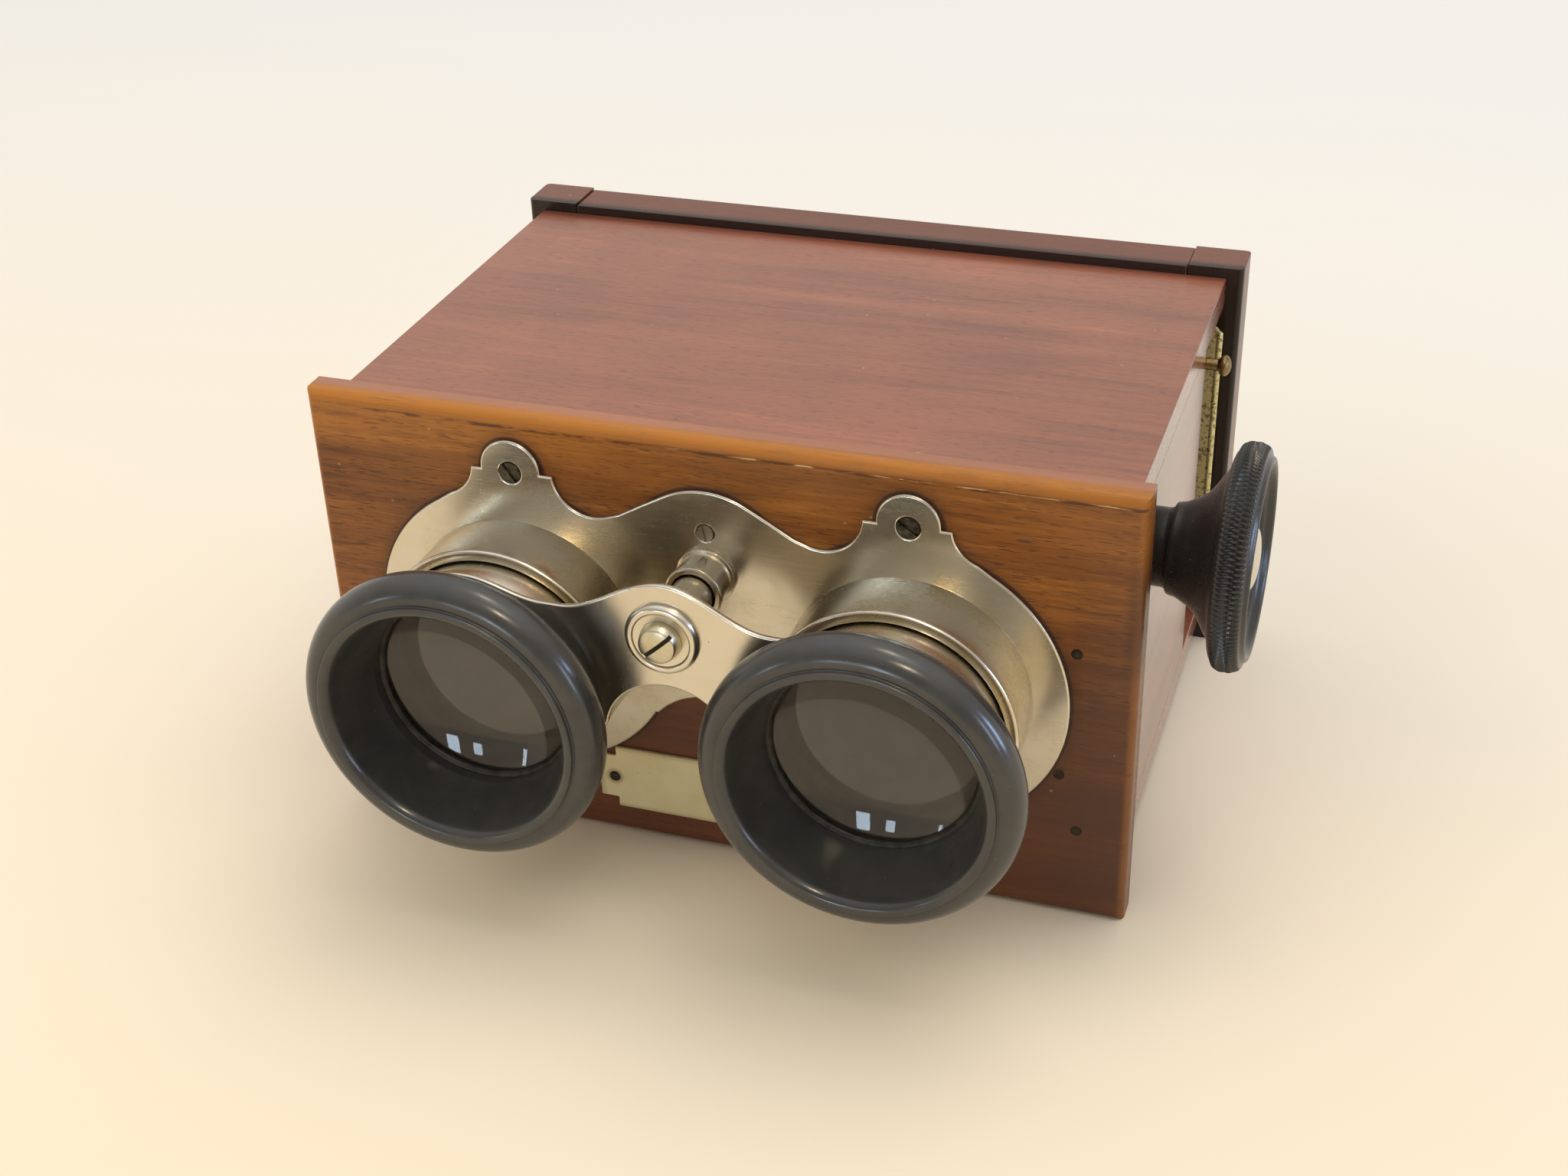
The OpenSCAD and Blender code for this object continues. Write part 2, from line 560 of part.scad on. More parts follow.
module pressure_springs() {
    // two bowed leaves between the plate and the rear rails
    g = yr - plate_y - 0.8;
    r = (22 * 22 + g * g) / (2 * g);
    color([0.7, 0.62, 0.4]) for (z = [10.8, 61.8]) translate([0, 0, z]) linear_extrude(2.2) difference() {
        intersection() {
            translate([0, plate_y + 0.8 + r]) circle(r = r, $fn = 240);
            translate([-22, plate_y + 0.7]) square([44, g + 0.1]);
        }
        translate([0, plate_y + 0.8 + r]) circle(r = r - 0.3, $fn = 240);
    }
}

front_panel();
top_board();
bottom_board();
left_board();
right_board();
septum();
picture_mask();
slide_rail();
slide_stop();
rear_stile_left();
rear_stile_right();
rear_rail_top();
rear_rail_bottom();
ground_glass();
glass_beads();
front_plate();
plate_screws();
outer_barrel_left();
outer_barrel_right();
guide_tube();
plaque();
plaque_pins();
nail_plugs();
shaft_bracket();
bracket_screws();
shaft_bush();
ejector_guides();
plate_pins();
bridge_plate();
inner_tube_left();
inner_tube_right();
lens_left();
lens_right();
lens_ring_left();
lens_ring_right();
eyecup_left();
eyecup_right();
guide_rod();
bridge_washer();
bridge_screw();
focus_wheel();
wheel_cap();
focus_shaft();
shaft_collar();
focus_pinion();
ejector_bar();
ejector_knob();
pressure_plate();
pressure_springs();
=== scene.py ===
import math

import bmesh
import bpy
from mathutils import Matrix, Vector


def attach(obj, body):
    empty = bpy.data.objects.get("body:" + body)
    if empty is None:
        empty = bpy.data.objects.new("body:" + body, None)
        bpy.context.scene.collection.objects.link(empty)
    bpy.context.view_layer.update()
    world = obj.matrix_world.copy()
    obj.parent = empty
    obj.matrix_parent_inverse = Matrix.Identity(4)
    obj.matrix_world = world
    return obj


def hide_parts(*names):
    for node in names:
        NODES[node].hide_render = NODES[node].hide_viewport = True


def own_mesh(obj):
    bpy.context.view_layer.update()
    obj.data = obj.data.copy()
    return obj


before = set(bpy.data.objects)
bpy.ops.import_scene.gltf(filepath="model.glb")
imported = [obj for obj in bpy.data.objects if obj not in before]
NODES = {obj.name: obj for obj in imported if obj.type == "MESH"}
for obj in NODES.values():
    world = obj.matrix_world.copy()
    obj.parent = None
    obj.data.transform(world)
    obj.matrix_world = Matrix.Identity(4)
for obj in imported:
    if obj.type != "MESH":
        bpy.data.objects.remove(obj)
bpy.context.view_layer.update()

MM = 0.001

# measures of the part, in millimetres, the same as in the CAD
LX, LH = 31.5, 38.0            # lens axes
YF = -2.5                      # front face of the front panel
YBR, YBB = -21.8, -20.8        # bridge plate
ROD_H = 52.8
SHAFT_Y, SHAFT_H = 14.2, 58.3
PLATE_T = 0.8
CUP_R, CUP_H = 21.2, 6.7

# ---------------------------------------------------------------- node helpers


class Mat:
    """Builds one procedural material. Sockets and plain numbers mix freely as inputs."""

    def __init__(self, name):
        self.m = bpy.data.materials.new(name)
        self.m.use_nodes = True
        self.t = self.m.node_tree
        self.t.nodes.clear()
        self.out = self.t.nodes.new("ShaderNodeOutputMaterial")

    def put(self, socket, value):
        if isinstance(value, bpy.types.NodeSocket):
            self.t.links.new(value, socket)
        elif value is not None:
            if hasattr(socket.default_value, "__len__") and len(socket.default_value) == 4 and len(value) == 3:
                value = (*value, 1.0)
            socket.default_value = value

    def node(self, kind, **attrs):
        n = self.t.nodes.new("ShaderNode" + kind)
        for k, v in attrs.items():
            setattr(n, k, v)
        return n

    def P(self):
        """Position on the piece in millimetres, in the row frame."""
        if not hasattr(self, "_p"):
            c = self.node("TexCoord")
            v = self.node("VectorMath", operation="SCALE")
            self.t.links.new(c.outputs["Object"], v.inputs[0])
            v.inputs["Scale"].default_value = 1000.0
            self._p = v.outputs[0]
            s = self.node("SeparateXYZ")
            self.t.links.new(self._p, s.inputs[0])
            self.x, self.y, self.z = s.outputs
        return self._p

    def stretch(self, factors, offset=(0, 0, 0)):
        v = self.node("VectorMath", operation="MULTIPLY_ADD")
        self.t.links.new(self.P(), v.inputs[0])
        v.inputs[1].default_value = factors
        v.inputs[2].default_value = offset
        return v.outputs[0]

    def math(self, op, a, b=None, c=None, clamp=False):
        n = self.node("Math", operation=op, use_clamp=clamp)
        for i, v in enumerate((a, b, c)):
            if v is not None:
                self.put(n.inputs[i], v)
        return n.outputs[0]

    def noise(self, vec, scale=1.0, detail=3.0, rough=0.5, dist=0.0, lac=2.0):
        n = self.node("TexNoise")
        self.put(n.inputs["Vector"], vec)
        n.inputs["Scale"].default_value = scale
        n.inputs["Detail"].default_value = detail
        n.inputs["Roughness"].default_value = rough
        n.inputs["Distortion"].default_value = dist
        n.inputs["Lacunarity"].default_value = lac
        return n.outputs["Fac"]

    def voronoi(self, vec, scale=1.0, feature="F1", rand=1.0):
        n = self.node("TexVoronoi", feature=feature)
        self.put(n.inputs["Vector"], vec)
        n.inputs["Scale"].default_value = scale
        n.inputs["Randomness"].default_value = rand
        return n.outputs["Distance"]

    def ramp(self, fac, stops, interp="EASE"):
        n = self.node("ValToRGB")
        n.color_ramp.interpolation = interp
        while len(n.color_ramp.elements) < len(stops):
            n.color_ramp.elements.new(0.5)
        for e, (p, c) in zip(n.color_ramp.elements, stops):
            e.position = p
            e.color = (*c, 1.0) if len(c) == 3 else c
        self.put(n.inputs[0], fac)
        return n.outputs["Color"]

    def span(self, v, a, b, lo=0.0, hi=1.0, smooth=True):
        n = self.node("MapRange", interpolation_type="SMOOTHSTEP" if smooth else "LINEAR")
        self.put(n.inputs["Value"], v)
        for k, x in (("From Min", a), ("From Max", b), ("To Min", lo), ("To Max", hi)):
            n.inputs[k].default_value = x
        return n.outputs[0]

    def mix(self, fac, a, b, blend="MIX"):
        n = self.node("Mix", data_type="RGBA", blend_type=blend)
        self.put(n.inputs[0], fac)
        self.put(n.inputs[6], a)
        self.put(n.inputs[7], b)
        return n.outputs[2]

    def bump(self, height, strength=0.3, dist=0.0001, normal=None):
        n = self.node("Bump")
        n.inputs["Strength"].default_value = strength
        n.inputs["Distance"].default_value = dist
        self.put(n.inputs["Height"], height)
        if normal is not None:
            self.put(n.inputs["Normal"], normal)
        return n.outputs[0]

    def shader(self, **inputs):
        p = self.node("BsdfPrincipled")
        for k, v in inputs.items():
            self.put(p.inputs[k.replace("_", " ")], v)
        self.t.links.new(p.outputs[0], self.out.inputs[0])
        self.bsdf = p
        return self.m


# ---------------------------------------------------------------- materials


def wood(name, grain, stops, seed=(0, 0, 0), pore=0.55, pore_colour=(0.035, 0.012, 0.006), rough=(0.26, 0.42),
         coat=0.35, coat_rough=0.14, band=1.0, shape=None, wisp=0.35, spec=0.5, pore_size=(0.42, 5.0), relief=0.20):
    b = Mat(name)
    b.P()

    def along(a, c):
        v = [c, c, c]
        v[grain] = a
        return tuple(v)

    warp = b.noise(b.stretch(along(0.010, 0.030), seed), 1.0, 2.0, 0.5)
    broad = b.noise(b.stretch(along(0.011, 0.13 * band), seed), 1.0, 5.0, 0.55, 0.9)
    streak = b.noise(b.stretch(along(0.028, 0.95), seed), 1.0, 6.0, 0.66, 0.25)
    fine = b.noise(b.stretch(along(0.16, 3.6), seed), 1.0, 4.0, 0.68)
    pores = b.noise(b.stretch(along(*pore_size), seed), 1.0, 2.0, 0.4)
    wisps = b.noise(b.stretch(along(0.050, 0.50), (seed[2], seed[0], seed[1])), 1.0, 5.0, 0.62, 0.7)
    flame = b.noise(b.stretch(along(0.085, 0.03), seed), 1.0, 2.0, 0.4)
    t = b.math("MULTIPLY_ADD", broad, 0.58, b.math("MULTIPLY", streak, 0.46))
    t = b.math("ADD", t, b.math("MULTIPLY_ADD", fine, 0.26, -0.16))
    t = b.math("ADD", t, b.math("MULTIPLY_ADD", warp, 0.26, -0.13))
    colour = b.ramp(b.span(t, 0.30, 0.86, smooth=False), stops)
    colour = b.mix(b.math("MULTIPLY", b.span(wisps, 0.55, 0.74), wisp), colour, pore_colour)
    pore_mask = b.math("MULTIPLY", b.span(pores, 0.585, 0.66), b.span(streak, 0.32, 0.56, 0.25, 1.0))
    colour = b.mix(b.math("MULTIPLY", pore_mask, pore), colour, pore_colour)
    colour = b.mix(b.span(flame, 0.25, 0.80, 0.0, 0.16), colour, (1.0, 0.80, 0.62), "SOFT_LIGHT")
    r = b.span(b.math("ADD", streak, b.math("MULTIPLY", pore_mask, 0.3)), 0.3, 0.9, rough[0], rough[1])
    if shape:
        colour, r, coat, coat_rough = shape(b, colour, r, streak, broad, coat, coat_rough)
    # small flaws: pale flecks and dust in the varnish
    fleck = b.voronoi(b.stretch((0.16, 0.16, 0.16), (seed[0] + 3.1, 0, 0)), 1.0)
    fleck = b.math("MULTIPLY", b.span(fleck, 0.050, 0.02), 0.35)
    colour = b.mix(fleck, colour, (0.55, 0.42, 0.30))
    height = b.math("SUBTRACT", b.math("MULTIPLY", fine, 0.5), b.math("MULTIPLY", pore_mask, 0.9))
    normal = b.bump(height, relief, 0.00006)
    return b.shader(Base_Color=colour, Roughness=r, IOR=1.5, Specular_IOR_Level=spec, Coat_Weight=coat,
                    Coat_Roughness=coat_rough, Coat_IOR=1.5, Normal=normal)


def plate_distance(b):
    """Distance from the outline of the nickelled plate, in millimetres, over the front panel."""
    b.P()
    ax = b.math("ABSOLUTE", b.x)
    az = b.math("ABSOLUTE", b.math("SUBTRACT", b.z, LH))

    def circle(cx, cz, r, x=ax, z=az):
        dx, dz = b.math("SUBTRACT", x, cx), b.math("SUBTRACT", z, cz)
        return b.math("SUBTRACT", b.math("SQRT", b.math("ADD", b.math("MULTIPLY", dx, dx), b.math("MULTIPLY", dz, dz))), r)

    d = b.math("SMOOTH_MIN", circle(LX, 0, 24.8), circle(LX, 28.2, 4.9), 8.0)
    return b.math("SMOOTH_MIN", d, circle(0, 53.75, 13.25, ax, b.z), 8.0)


def front_shape(b, colour, r, streak, broad, coat, coat_rough):
    # redder and darker towards the bottom and the right end, with a painted band of light, golden, across the upper
    # face
    low = b.span(b.math("ADD", b.z, b.math("MULTIPLY", broad, 14.0)), 62.0, 22.0)
    colour = b.mix(b.math("MULTIPLY", low, 0.80), colour, (0.120, 0.038, 0.021), "MIX")
    # painted light: the upper face is lightened to a golden orange
    lit = b.math("MULTIPLY", b.span(b.z, 60.0, 70.5), b.span(broad, 0.35, 0.60, 0.03, 0.16))
    colour = b.mix(lit, colour, (0.56, 0.225, 0.042))
    right = b.math("MULTIPLY", b.span(b.x, 44.0, 62.0), b.span(b.z, 68.0, 46.0, 0.14, 0.66))
    colour = b.mix(b.math("MULTIPLY", right, b.span(broad, 0.30, 0.62, 1.25, 0.75)), colour, (0.085, 0.034, 0.018))
    # grime gathered along the plate, and painted shade in a thin dark band right at its edge
    d = plate_distance(b)
    halo = b.math("MULTIPLY", b.span(d, 2.6, 0.2), b.span(streak, 0.2, 0.7, 0.12, 0.38))
    # painted shade: the thin dark band next to the plate's edge, with streaky grime further out
    grime_and_edge_shade = b.math("MAXIMUM", b.math("MULTIPLY", b.span(d, 0.75, 0.15), 0.85), halo)
    colour = b.mix(grime_and_edge_shade, colour, (0.030, 0.012, 0.008))
    # the rounded edges are rubbed to a clear orange
    wear = b.noise(b.stretch((0.06, 0.2, 0.35)), 1.0, 4.0, 0.6)
    top = b.math("MULTIPLY", b.span(b.z, 73.15, 73.9), b.span(b.y, 0.6, -0.4))
    ends = b.math("MULTIPLY", b.span(b.math("ABSOLUTE", b.x), 64.5, 65.4), b.span(b.y, 0.9, -0.2))
    edge = b.math("MAXIMUM", top, b.math("MULTIPLY", ends, 0.40))
    edge = b.math("MULTIPLY", edge, b.span(wear, 0.28, 0.52, 0.35, 0.85))
    colour = b.mix(edge, colour, (0.42, 0.150, 0.010))
    # the flat of the top has the case's redder polish
    flat = b.math("MULTIPLY", b.span(b.z, 74.3, 74.55), b.span(b.y, -0.3, 0.7))
    colour = b.mix(b.math("MULTIPLY", flat, 0.8), colour, (0.33, 0.125, 0.068))
    coat = b.span(flat, 0.0, 1.0, coat, 0.55)
    coat_rough = b.span(flat, 0.0, 1.0, coat_rough, 0.20)
    # dark dashes of old polish where the rounding meets the face, with a chipped pale line here and there
    dash = b.noise(b.stretch((0.16, 0.3, 1.2), (3, 1, 4)), 1.0, 3.0, 0.6)
    line = b.math("MULTIPLY", b.span(b.z, 72.55, 72.95), b.span(b.z, 73.5, 73.1))
    line = b.math("MULTIPLY", line, b.math("MULTIPLY", b.span(b.y, -1.6, -2.0), b.span(dash, 0.47, 0.58)))
    colour = b.mix(b.math("MULTIPLY", line, 0.85), colour, (0.07, 0.024, 0.010))
    chip = b.math("MULTIPLY", b.span(b.z, 73.02, 73.10), b.span(b.z, 73.30, 73.22))
    chip = b.math("MULTIPLY", chip, b.math("MULTIPLY", b.span(b.y, -1.6, -1.9), b.span(dash, 0.50, 0.44)))
    chip = b.math("MULTIPLY", chip, b.math("MULTIPLY", b.span(b.x, -20.0, 10.0), b.span(wear, 0.42, 0.55)))
    colour = b.mix(b.math("MULTIPLY", chip, 0.8), colour, (0.85, 0.66, 0.36))
    # darker on the end beside the wheel
    beside_wheel = b.math("MULTIPLY", b.span(b.x, 62.6, 65.2), b.span(b.math("ABSOLUTE", b.math("SUBTRACT", b.z, 55.0)), 14.0, 3.0))
    colour = b.mix(b.math("MULTIPLY", beside_wheel, 0.55), colour, (0.06, 0.024, 0.014))
    return colour, r, coat, coat_rough


def case_shape(b, colour, r, streak, broad, coat, coat_rough):
    # darker next to the rear frame and the front panel
    rear = b.span(b.y, 79.5, 82.6)
    front = b.span(b.y, 3.7, 2.6)
    colour = b.mix(b.math("MULTIPLY", b.math("MAXIMUM", rear, front), 0.45), colour, (0.05, 0.015, 0.010))
    # the edge of the top board has the same high polish as the side it is flush with
    flank = b.span(b.math("ABSOLUTE", b.x), 63.35, 63.48)
    coat = b.span(flank, 0.0, 1.0, coat, 0.75)
    coat_rough = b.span(flank, 0.0, 1.0, coat_rough, 0.13)
    r = b.math("MULTIPLY_ADD", flank, -0.05, r)
    return colour, r, coat, coat_rough


def frame_shape(b, colour, r, streak, broad, coat, coat_rough):
    # painted shade: the side next to the case is darkened nearly to black; painted light: the rounded top and outer
    # edges are lightened to red brown
    inner = b.span(b.y, 84.4, 83.7)
    colour = b.mix(b.math("MULTIPLY", inner, 0.80), colour, (0.016, 0.009, 0.007))
    # painted light on the rounded top and outer edges
    outer = b.math("MAXIMUM", b.span(b.z, 73.2, 74.3), b.span(b.math("ABSOLUTE", b.x), 65.5, 66.3))
    outer = b.math("MULTIPLY", outer, b.span(b.y, 83.9, 85.6))
    colour = b.mix(b.math("MULTIPLY", outer, 0.55), colour, (0.235, 0.080, 0.045))
    return colour, r, coat, coat_rough


FRONT = wood("mahogany_front", 0, [(0.0, (0.110, 0.033, 0.008)), (0.30, (0.225, 0.078, 0.014)), (0.58, (0.370, 0.138, 0.022)),
             (0.85, (0.500, 0.200, 0.034))], (2.0, 5.0, 1.0), 0.66, shape=front_shape, rough=(0.32, 0.48), coat=0.05, wisp=0.60,
             spec=0.36)
TOP = wood("mahogany_top", 0, [(0.0, (0.155, 0.046, 0.026)), (0.34, (0.240, 0.077, 0.041)), (0.62, (0.310, 0.102, 0.053)),
           (0.90, (0.380, 0.134, 0.071))], (7.0, 1.0, 3.0), 0.42, shape=case_shape, band=0.75, coat=0.55, coat_rough=0.20,
           rough=(0.30, 0.46), wisp=0.14, relief=0.07)
SIDE = wood("mahogany_side", 1, [(0.0, (0.120, 0.036, 0.022)), (0.35, (0.200, 0.064, 0.036)), (0.65, (0.275, 0.090, 0.048)),
            (0.90, (0.340, 0.118, 0.064))], (1.0, 9.0, 4.0), 0.15, shape=case_shape, coat=0.75, coat_rough=0.13, wisp=0.10, relief=0.008, rough=(0.36, 0.40))
RAIL = wood("mahogany_rail", 0, [(0.0, (0.040, 0.015, 0.011)), (0.40, (0.078, 0.028, 0.020)), (0.80, (0.125, 0.045, 0.032))],
            (4.0, 2.0, 8.0), 0.4, shape=frame_shape, coat=0.04, coat_rough=0.3, spec=0.32, relief=0.08)
# painted shade: the stiles are a near-black copy of the mahogany
STILE = wood("mahogany_stile", 2, [(0.0, (0.026, 0.014, 0.011)), (0.40, (0.050, 0.025, 0.019)), (0.80, (0.085, 0.038, 0.027))],
             (6.0, 3.0, 2.0), 0.4, shape=frame_shape, coat=0.04, coat_rough=0.3, spec=0.32, relief=0.08)
RAWWOOD = wood("mahogany_inside", 0, [(0.0, (0.09, 0.035, 0.02)), (0.5, (0.17, 0.07, 0.035)), (0.9, (0.24, 0.10, 0.05))],
               (3.0, 3.0, 3.0), 0.5, coat=0.0, rough=(0.5, 0.7))


def blackboard():
    b = Mat("black_board")
    n = b.noise(b.stretch((0.35, 0.35, 0.35)), 1.0, 4.0, 0.6)
    f = b.noise(b.stretch((4.0, 4.0, 4.0)), 1.0, 2.0, 0.5)
    colour = b.ramp(n, [(0.3, (0.010, 0.009, 0.008)), (0.7, (0.026, 0.023, 0.020))])
    return b.shader(Base_Color=colour, Roughness=b.span(n, 0.3, 0.7, 0.62, 0.82), Normal=b.bump(f, 0.3, 0.00006))


def nickel(name, tone=(0.63, 0.585, 0.50), tarnish=(0.50, 0.40, 0.215), rough=(0.12, 0.26), brush=None, amount=0.55,
           pits=0.6, speckle=0.22, lines_amount=0.35):
    b = Mat(name)
    b.P()
    cloud = b.noise(b.stretch((0.075, 0.075, 0.075)), 1.0, 5.0, 0.6, 0.6)
    patch = b.noise(b.stretch((0.23, 0.23, 0.23), (5, 2, 7)), 1.0, 5.0, 0.62, 0.8)
    t = b.math("MULTIPLY_ADD", cloud, 0.65, b.math("MULTIPLY", patch, 0.35))
    yellow = b.math("MULTIPLY", b.span(t, 0.42, 0.66), amount)
    colour = b.mix(yellow, tone, tarnish)
    # small dark pits and a fine speckle of worn plating
    spots = b.voronoi(b.stretch((0.62, 0.62, 0.62)), 1.0)
    size = b.noise(b.stretch((0.31, 0.31, 0.31), (9, 9, 1)), 1.0, 2.0, 0.5)
    pit = b.math("MULTIPLY", b.math("LESS_THAN", spots, b.span(size, 0.50, 0.80, 0.0, 0.16)), pits)
    speck = b.math("MULTIPLY", b.span(b.noise(b.stretch((2.2, 2.2, 2.2)), 1.0, 3.0, 0.6), 0.60, 0.74), speckle)
    dirt = b.math("MAXIMUM", pit, speck)
    colour = b.mix(dirt, colour, (0.15, 0.115, 0.07))
    if brush == "x":      # polishing lines round a turned part, or across a plate
        lines = b.noise(b.stretch((0.35, 9.0, 0.35)), 1.0, 3.0, 0.6)
    elif brush == "z":
        lines = b.noise(b.stretch((0.10, 0.10, 5.0)), 1.0, 3.0, 0.6)
    else:
        lines = b.noise(b.stretch((5.0, 5.0, 0.22)), 1.0, 3.0, 0.6)
    height = b.math("SUBTRACT", b.math("MULTIPLY", lines, lines_amount), b.math("MULTIPLY", dirt, 0.7))
    r = b.span(b.math("ADD", b.math("MULTIPLY", t, 0.7), b.math("MULTIPLY", lines, 0.3)), 0.35, 0.68, rough[0], rough[1])
    r = b.math("ADD", r, b.math("MULTIPLY", dirt, 0.25))
    return b.shader(Base_Color=colour, Metallic=1.0, Roughness=r, Normal=b.bump(height, 0.10, 0.00005))


NICKEL_PLATE = nickel("nickel_plate", tone=(0.66, 0.615, 0.52), tarnish=(0.57, 0.49, 0.34), rough=(0.20, 0.30), brush="z", amount=0.38,
                      pits=0.30, speckle=0.05, lines_amount=0.09)
NICKEL_TURNED = nickel("nickel_turned", tone=(0.68, 0.625, 0.52), tarnish=(0.56, 0.46, 0.27), rough=(0.19, 0.31), brush="x",
                       amount=0.7, pits=0.5, speckle=0.18)
NICKEL_BRIGHT = nickel("nickel_bright", tone=(0.70, 0.645, 0.54), tarnish=(0.62, 0.54, 0.40), rough=(0.21, 0.29), amount=0.35, pits=0.75,
                       speckle=0.10, lines_amount=0.10)
NICKEL_SCREW = nickel("nickel_screw", tone=(0.66, 0.61, 0.47), tarnish=(0.50, 0.42, 0.22), rough=(0.26, 0.38), amount=0.7, pits=0.5,
                      speckle=0.25, lines_amount=0.15)


def brass(name, tone, dark, speckle=0.25, rough=(0.22, 0.42), metal=1.0):
    b = Mat(name)
    cloud = b.noise(b.stretch((0.18, 0.18, 0.18)), 1.0, 5.0, 0.6, 0.5)
    grain = b.noise(b.stretch((1.7, 1.7, 1.7)), 1.0, 4.0, 0.65)
    colour = b.mix(b.span(cloud, 0.35, 0.65, 0.0, 0.6), tone, dark)
    s = b.math("MULTIPLY", b.span(grain, 0.50, 0.62), speckle)
    colour = b.mix(s, colour, (0.055, 0.035, 0.014))
    r = b.span(b.math("ADD", cloud, s), 0.3, 1.0, rough[0], rough[1])
    return b.shader(Base_Color=colour, Metallic=metal, Roughness=r, Normal=b.bump(grain, 0.12, 0.00005))


BRASS = brass("brass", (0.62, 0.44, 0.16), (0.36, 0.22, 0.07))
KNOB = brass("brass_knob", (0.34, 0.245, 0.105), (0.17, 0.115, 0.050), 0.35, (0.27, 0.42))
TARNISHED = brass("tarnished_brass", (0.74, 0.66, 0.34), (0.60, 0.51, 0.23), 0.80, (0.36, 0.55), 0.55)


def steel():
    b = Mat("drawn_steel")
    lines = b.noise(b.stretch((0.05, 3.0, 3.0)), 1.0, 3.0, 0.6)
    cloud = b.noise(b.stretch((0.2, 0.2, 0.2)), 1.0, 4.0, 0.6)
    colour = b.ramp(cloud, [(0.3, (0.40, 0.385, 0.36)), (0.7, (0.56, 0.545, 0.52))])
    return b.shader(Base_Color=colour, Metallic=1.0, Roughness=b.span(lines, 0.3, 0.7, 0.22, 0.4),
                    Normal=b.bump(lines, 0.15, 0.00004))


def ebonite(name, tone=0.036, rough=(0.17, 0.27), dull=0.30):
    b = Mat(name)
    cloud = b.noise(b.stretch((0.10, 0.10, 0.10)), 1.0, 5.0, 0.6, 0.4)
    fine = b.noise(b.stretch((2.6, 2.6, 2.6)), 1.0, 3.0, 0.6)
    dust = b.voronoi(b.stretch((0.45, 0.45, 0.45)), 1.0)
    dust = b.math("MULTIPLY", b.span(dust, 0.085, 0.03), dull)
    colour = b.ramp(cloud, [(0.30, (tone, tone, tone * 1.02)), (0.72, (tone * 1.5, tone * 1.46, tone * 1.34))])
    colour = b.mix(dust, colour, (0.16, 0.15, 0.13))
    r = b.span(b.math("MULTIPLY_ADD", fine, 0.35, b.math("MULTIPLY", cloud, 0.65)), 0.32, 0.68, rough[0], rough[1])
    return b.shader(Base_Color=colour, Roughness=r, IOR=1.55, Specular_IOR_Level=0.5, Normal=b.bump(fine, 0.04, 0.00004))


EBONITE = ebonite("ebonite")
EBONITE_WHEEL = ebonite("ebonite_wheel", 0.0165, (0.23, 0.33), 0.5)


def black_ring():
    b = Mat("blackened_ring")
    n = b.noise(b.stretch((0.5, 0.5, 0.5)), 1.0, 4.0, 0.6)
    colour = b.ramp(n, [(0.35, (0.022, 0.021, 0.019)), (0.70, (0.055, 0.050, 0.043))])
    return b.shader(Base_Color=colour, Metallic=0.6, Roughness=b.span(n, 0.3, 0.7, 0.34, 0.5),
                    Normal=b.bump(n, 0.1, 0.00004))


def tube_inside():
    b = Mat("tube_lining")
    n = b.noise(b.stretch((0.25, 0.25, 0.25)), 1.0, 4.0, 0.55)
    f = b.noise(b.stretch((3.0, 3.0, 3.0)), 1.0, 2.0, 0.5)
    # black at the lens seat, grey brown behind it
    seat = b.span(b.y, -17.2, -18.4)
    colour = b.ramp(n, [(0.30, (0.42, 0.345, 0.265)), (0.70, (0.49, 0.41, 0.315))])
    colour = b.mix(seat, colour, (0.020, 0.021, 0.019))
    return b.shader(Base_Color=colour, Roughness=b.span(n, 0.3, 0.7, 0.72, 0.9), Normal=b.bump(f, 0.1, 0.00004))


def lens_glass():
    b = Mat("lens_glass")
    smear = b.noise(b.stretch((0.13, 0.13, 0.13)), 1.0, 4.0, 0.6)
    return b.shader(Base_Color=(0.93, 0.935, 0.92), Roughness=b.span(smear, 0.35, 0.75, 0.0, 0.035), Transmission_Weight=1.0, IOR=1.52)


def ground_glass():
    b = Mat("ground_glass")
    f = b.noise(b.stretch((6.0, 6.0, 6.0)), 1.0, 2.0, 0.5)
    cloud = b.noise(b.stretch((0.04, 0.04, 0.04)), 1.0, 3.0, 0.5)
    colour = b.ramp(cloud, [(0.3, (0.80, 0.83, 0.80)), (0.7, (0.86, 0.885, 0.86))])
    return b.shader(Base_Color=colour, Roughness=b.span(f, 0.3, 0.7, 0.45, 0.6), Transmission_Weight=0.82, IOR=1.5,
                    Normal=b.bump(f, 0.25, 0.00005))


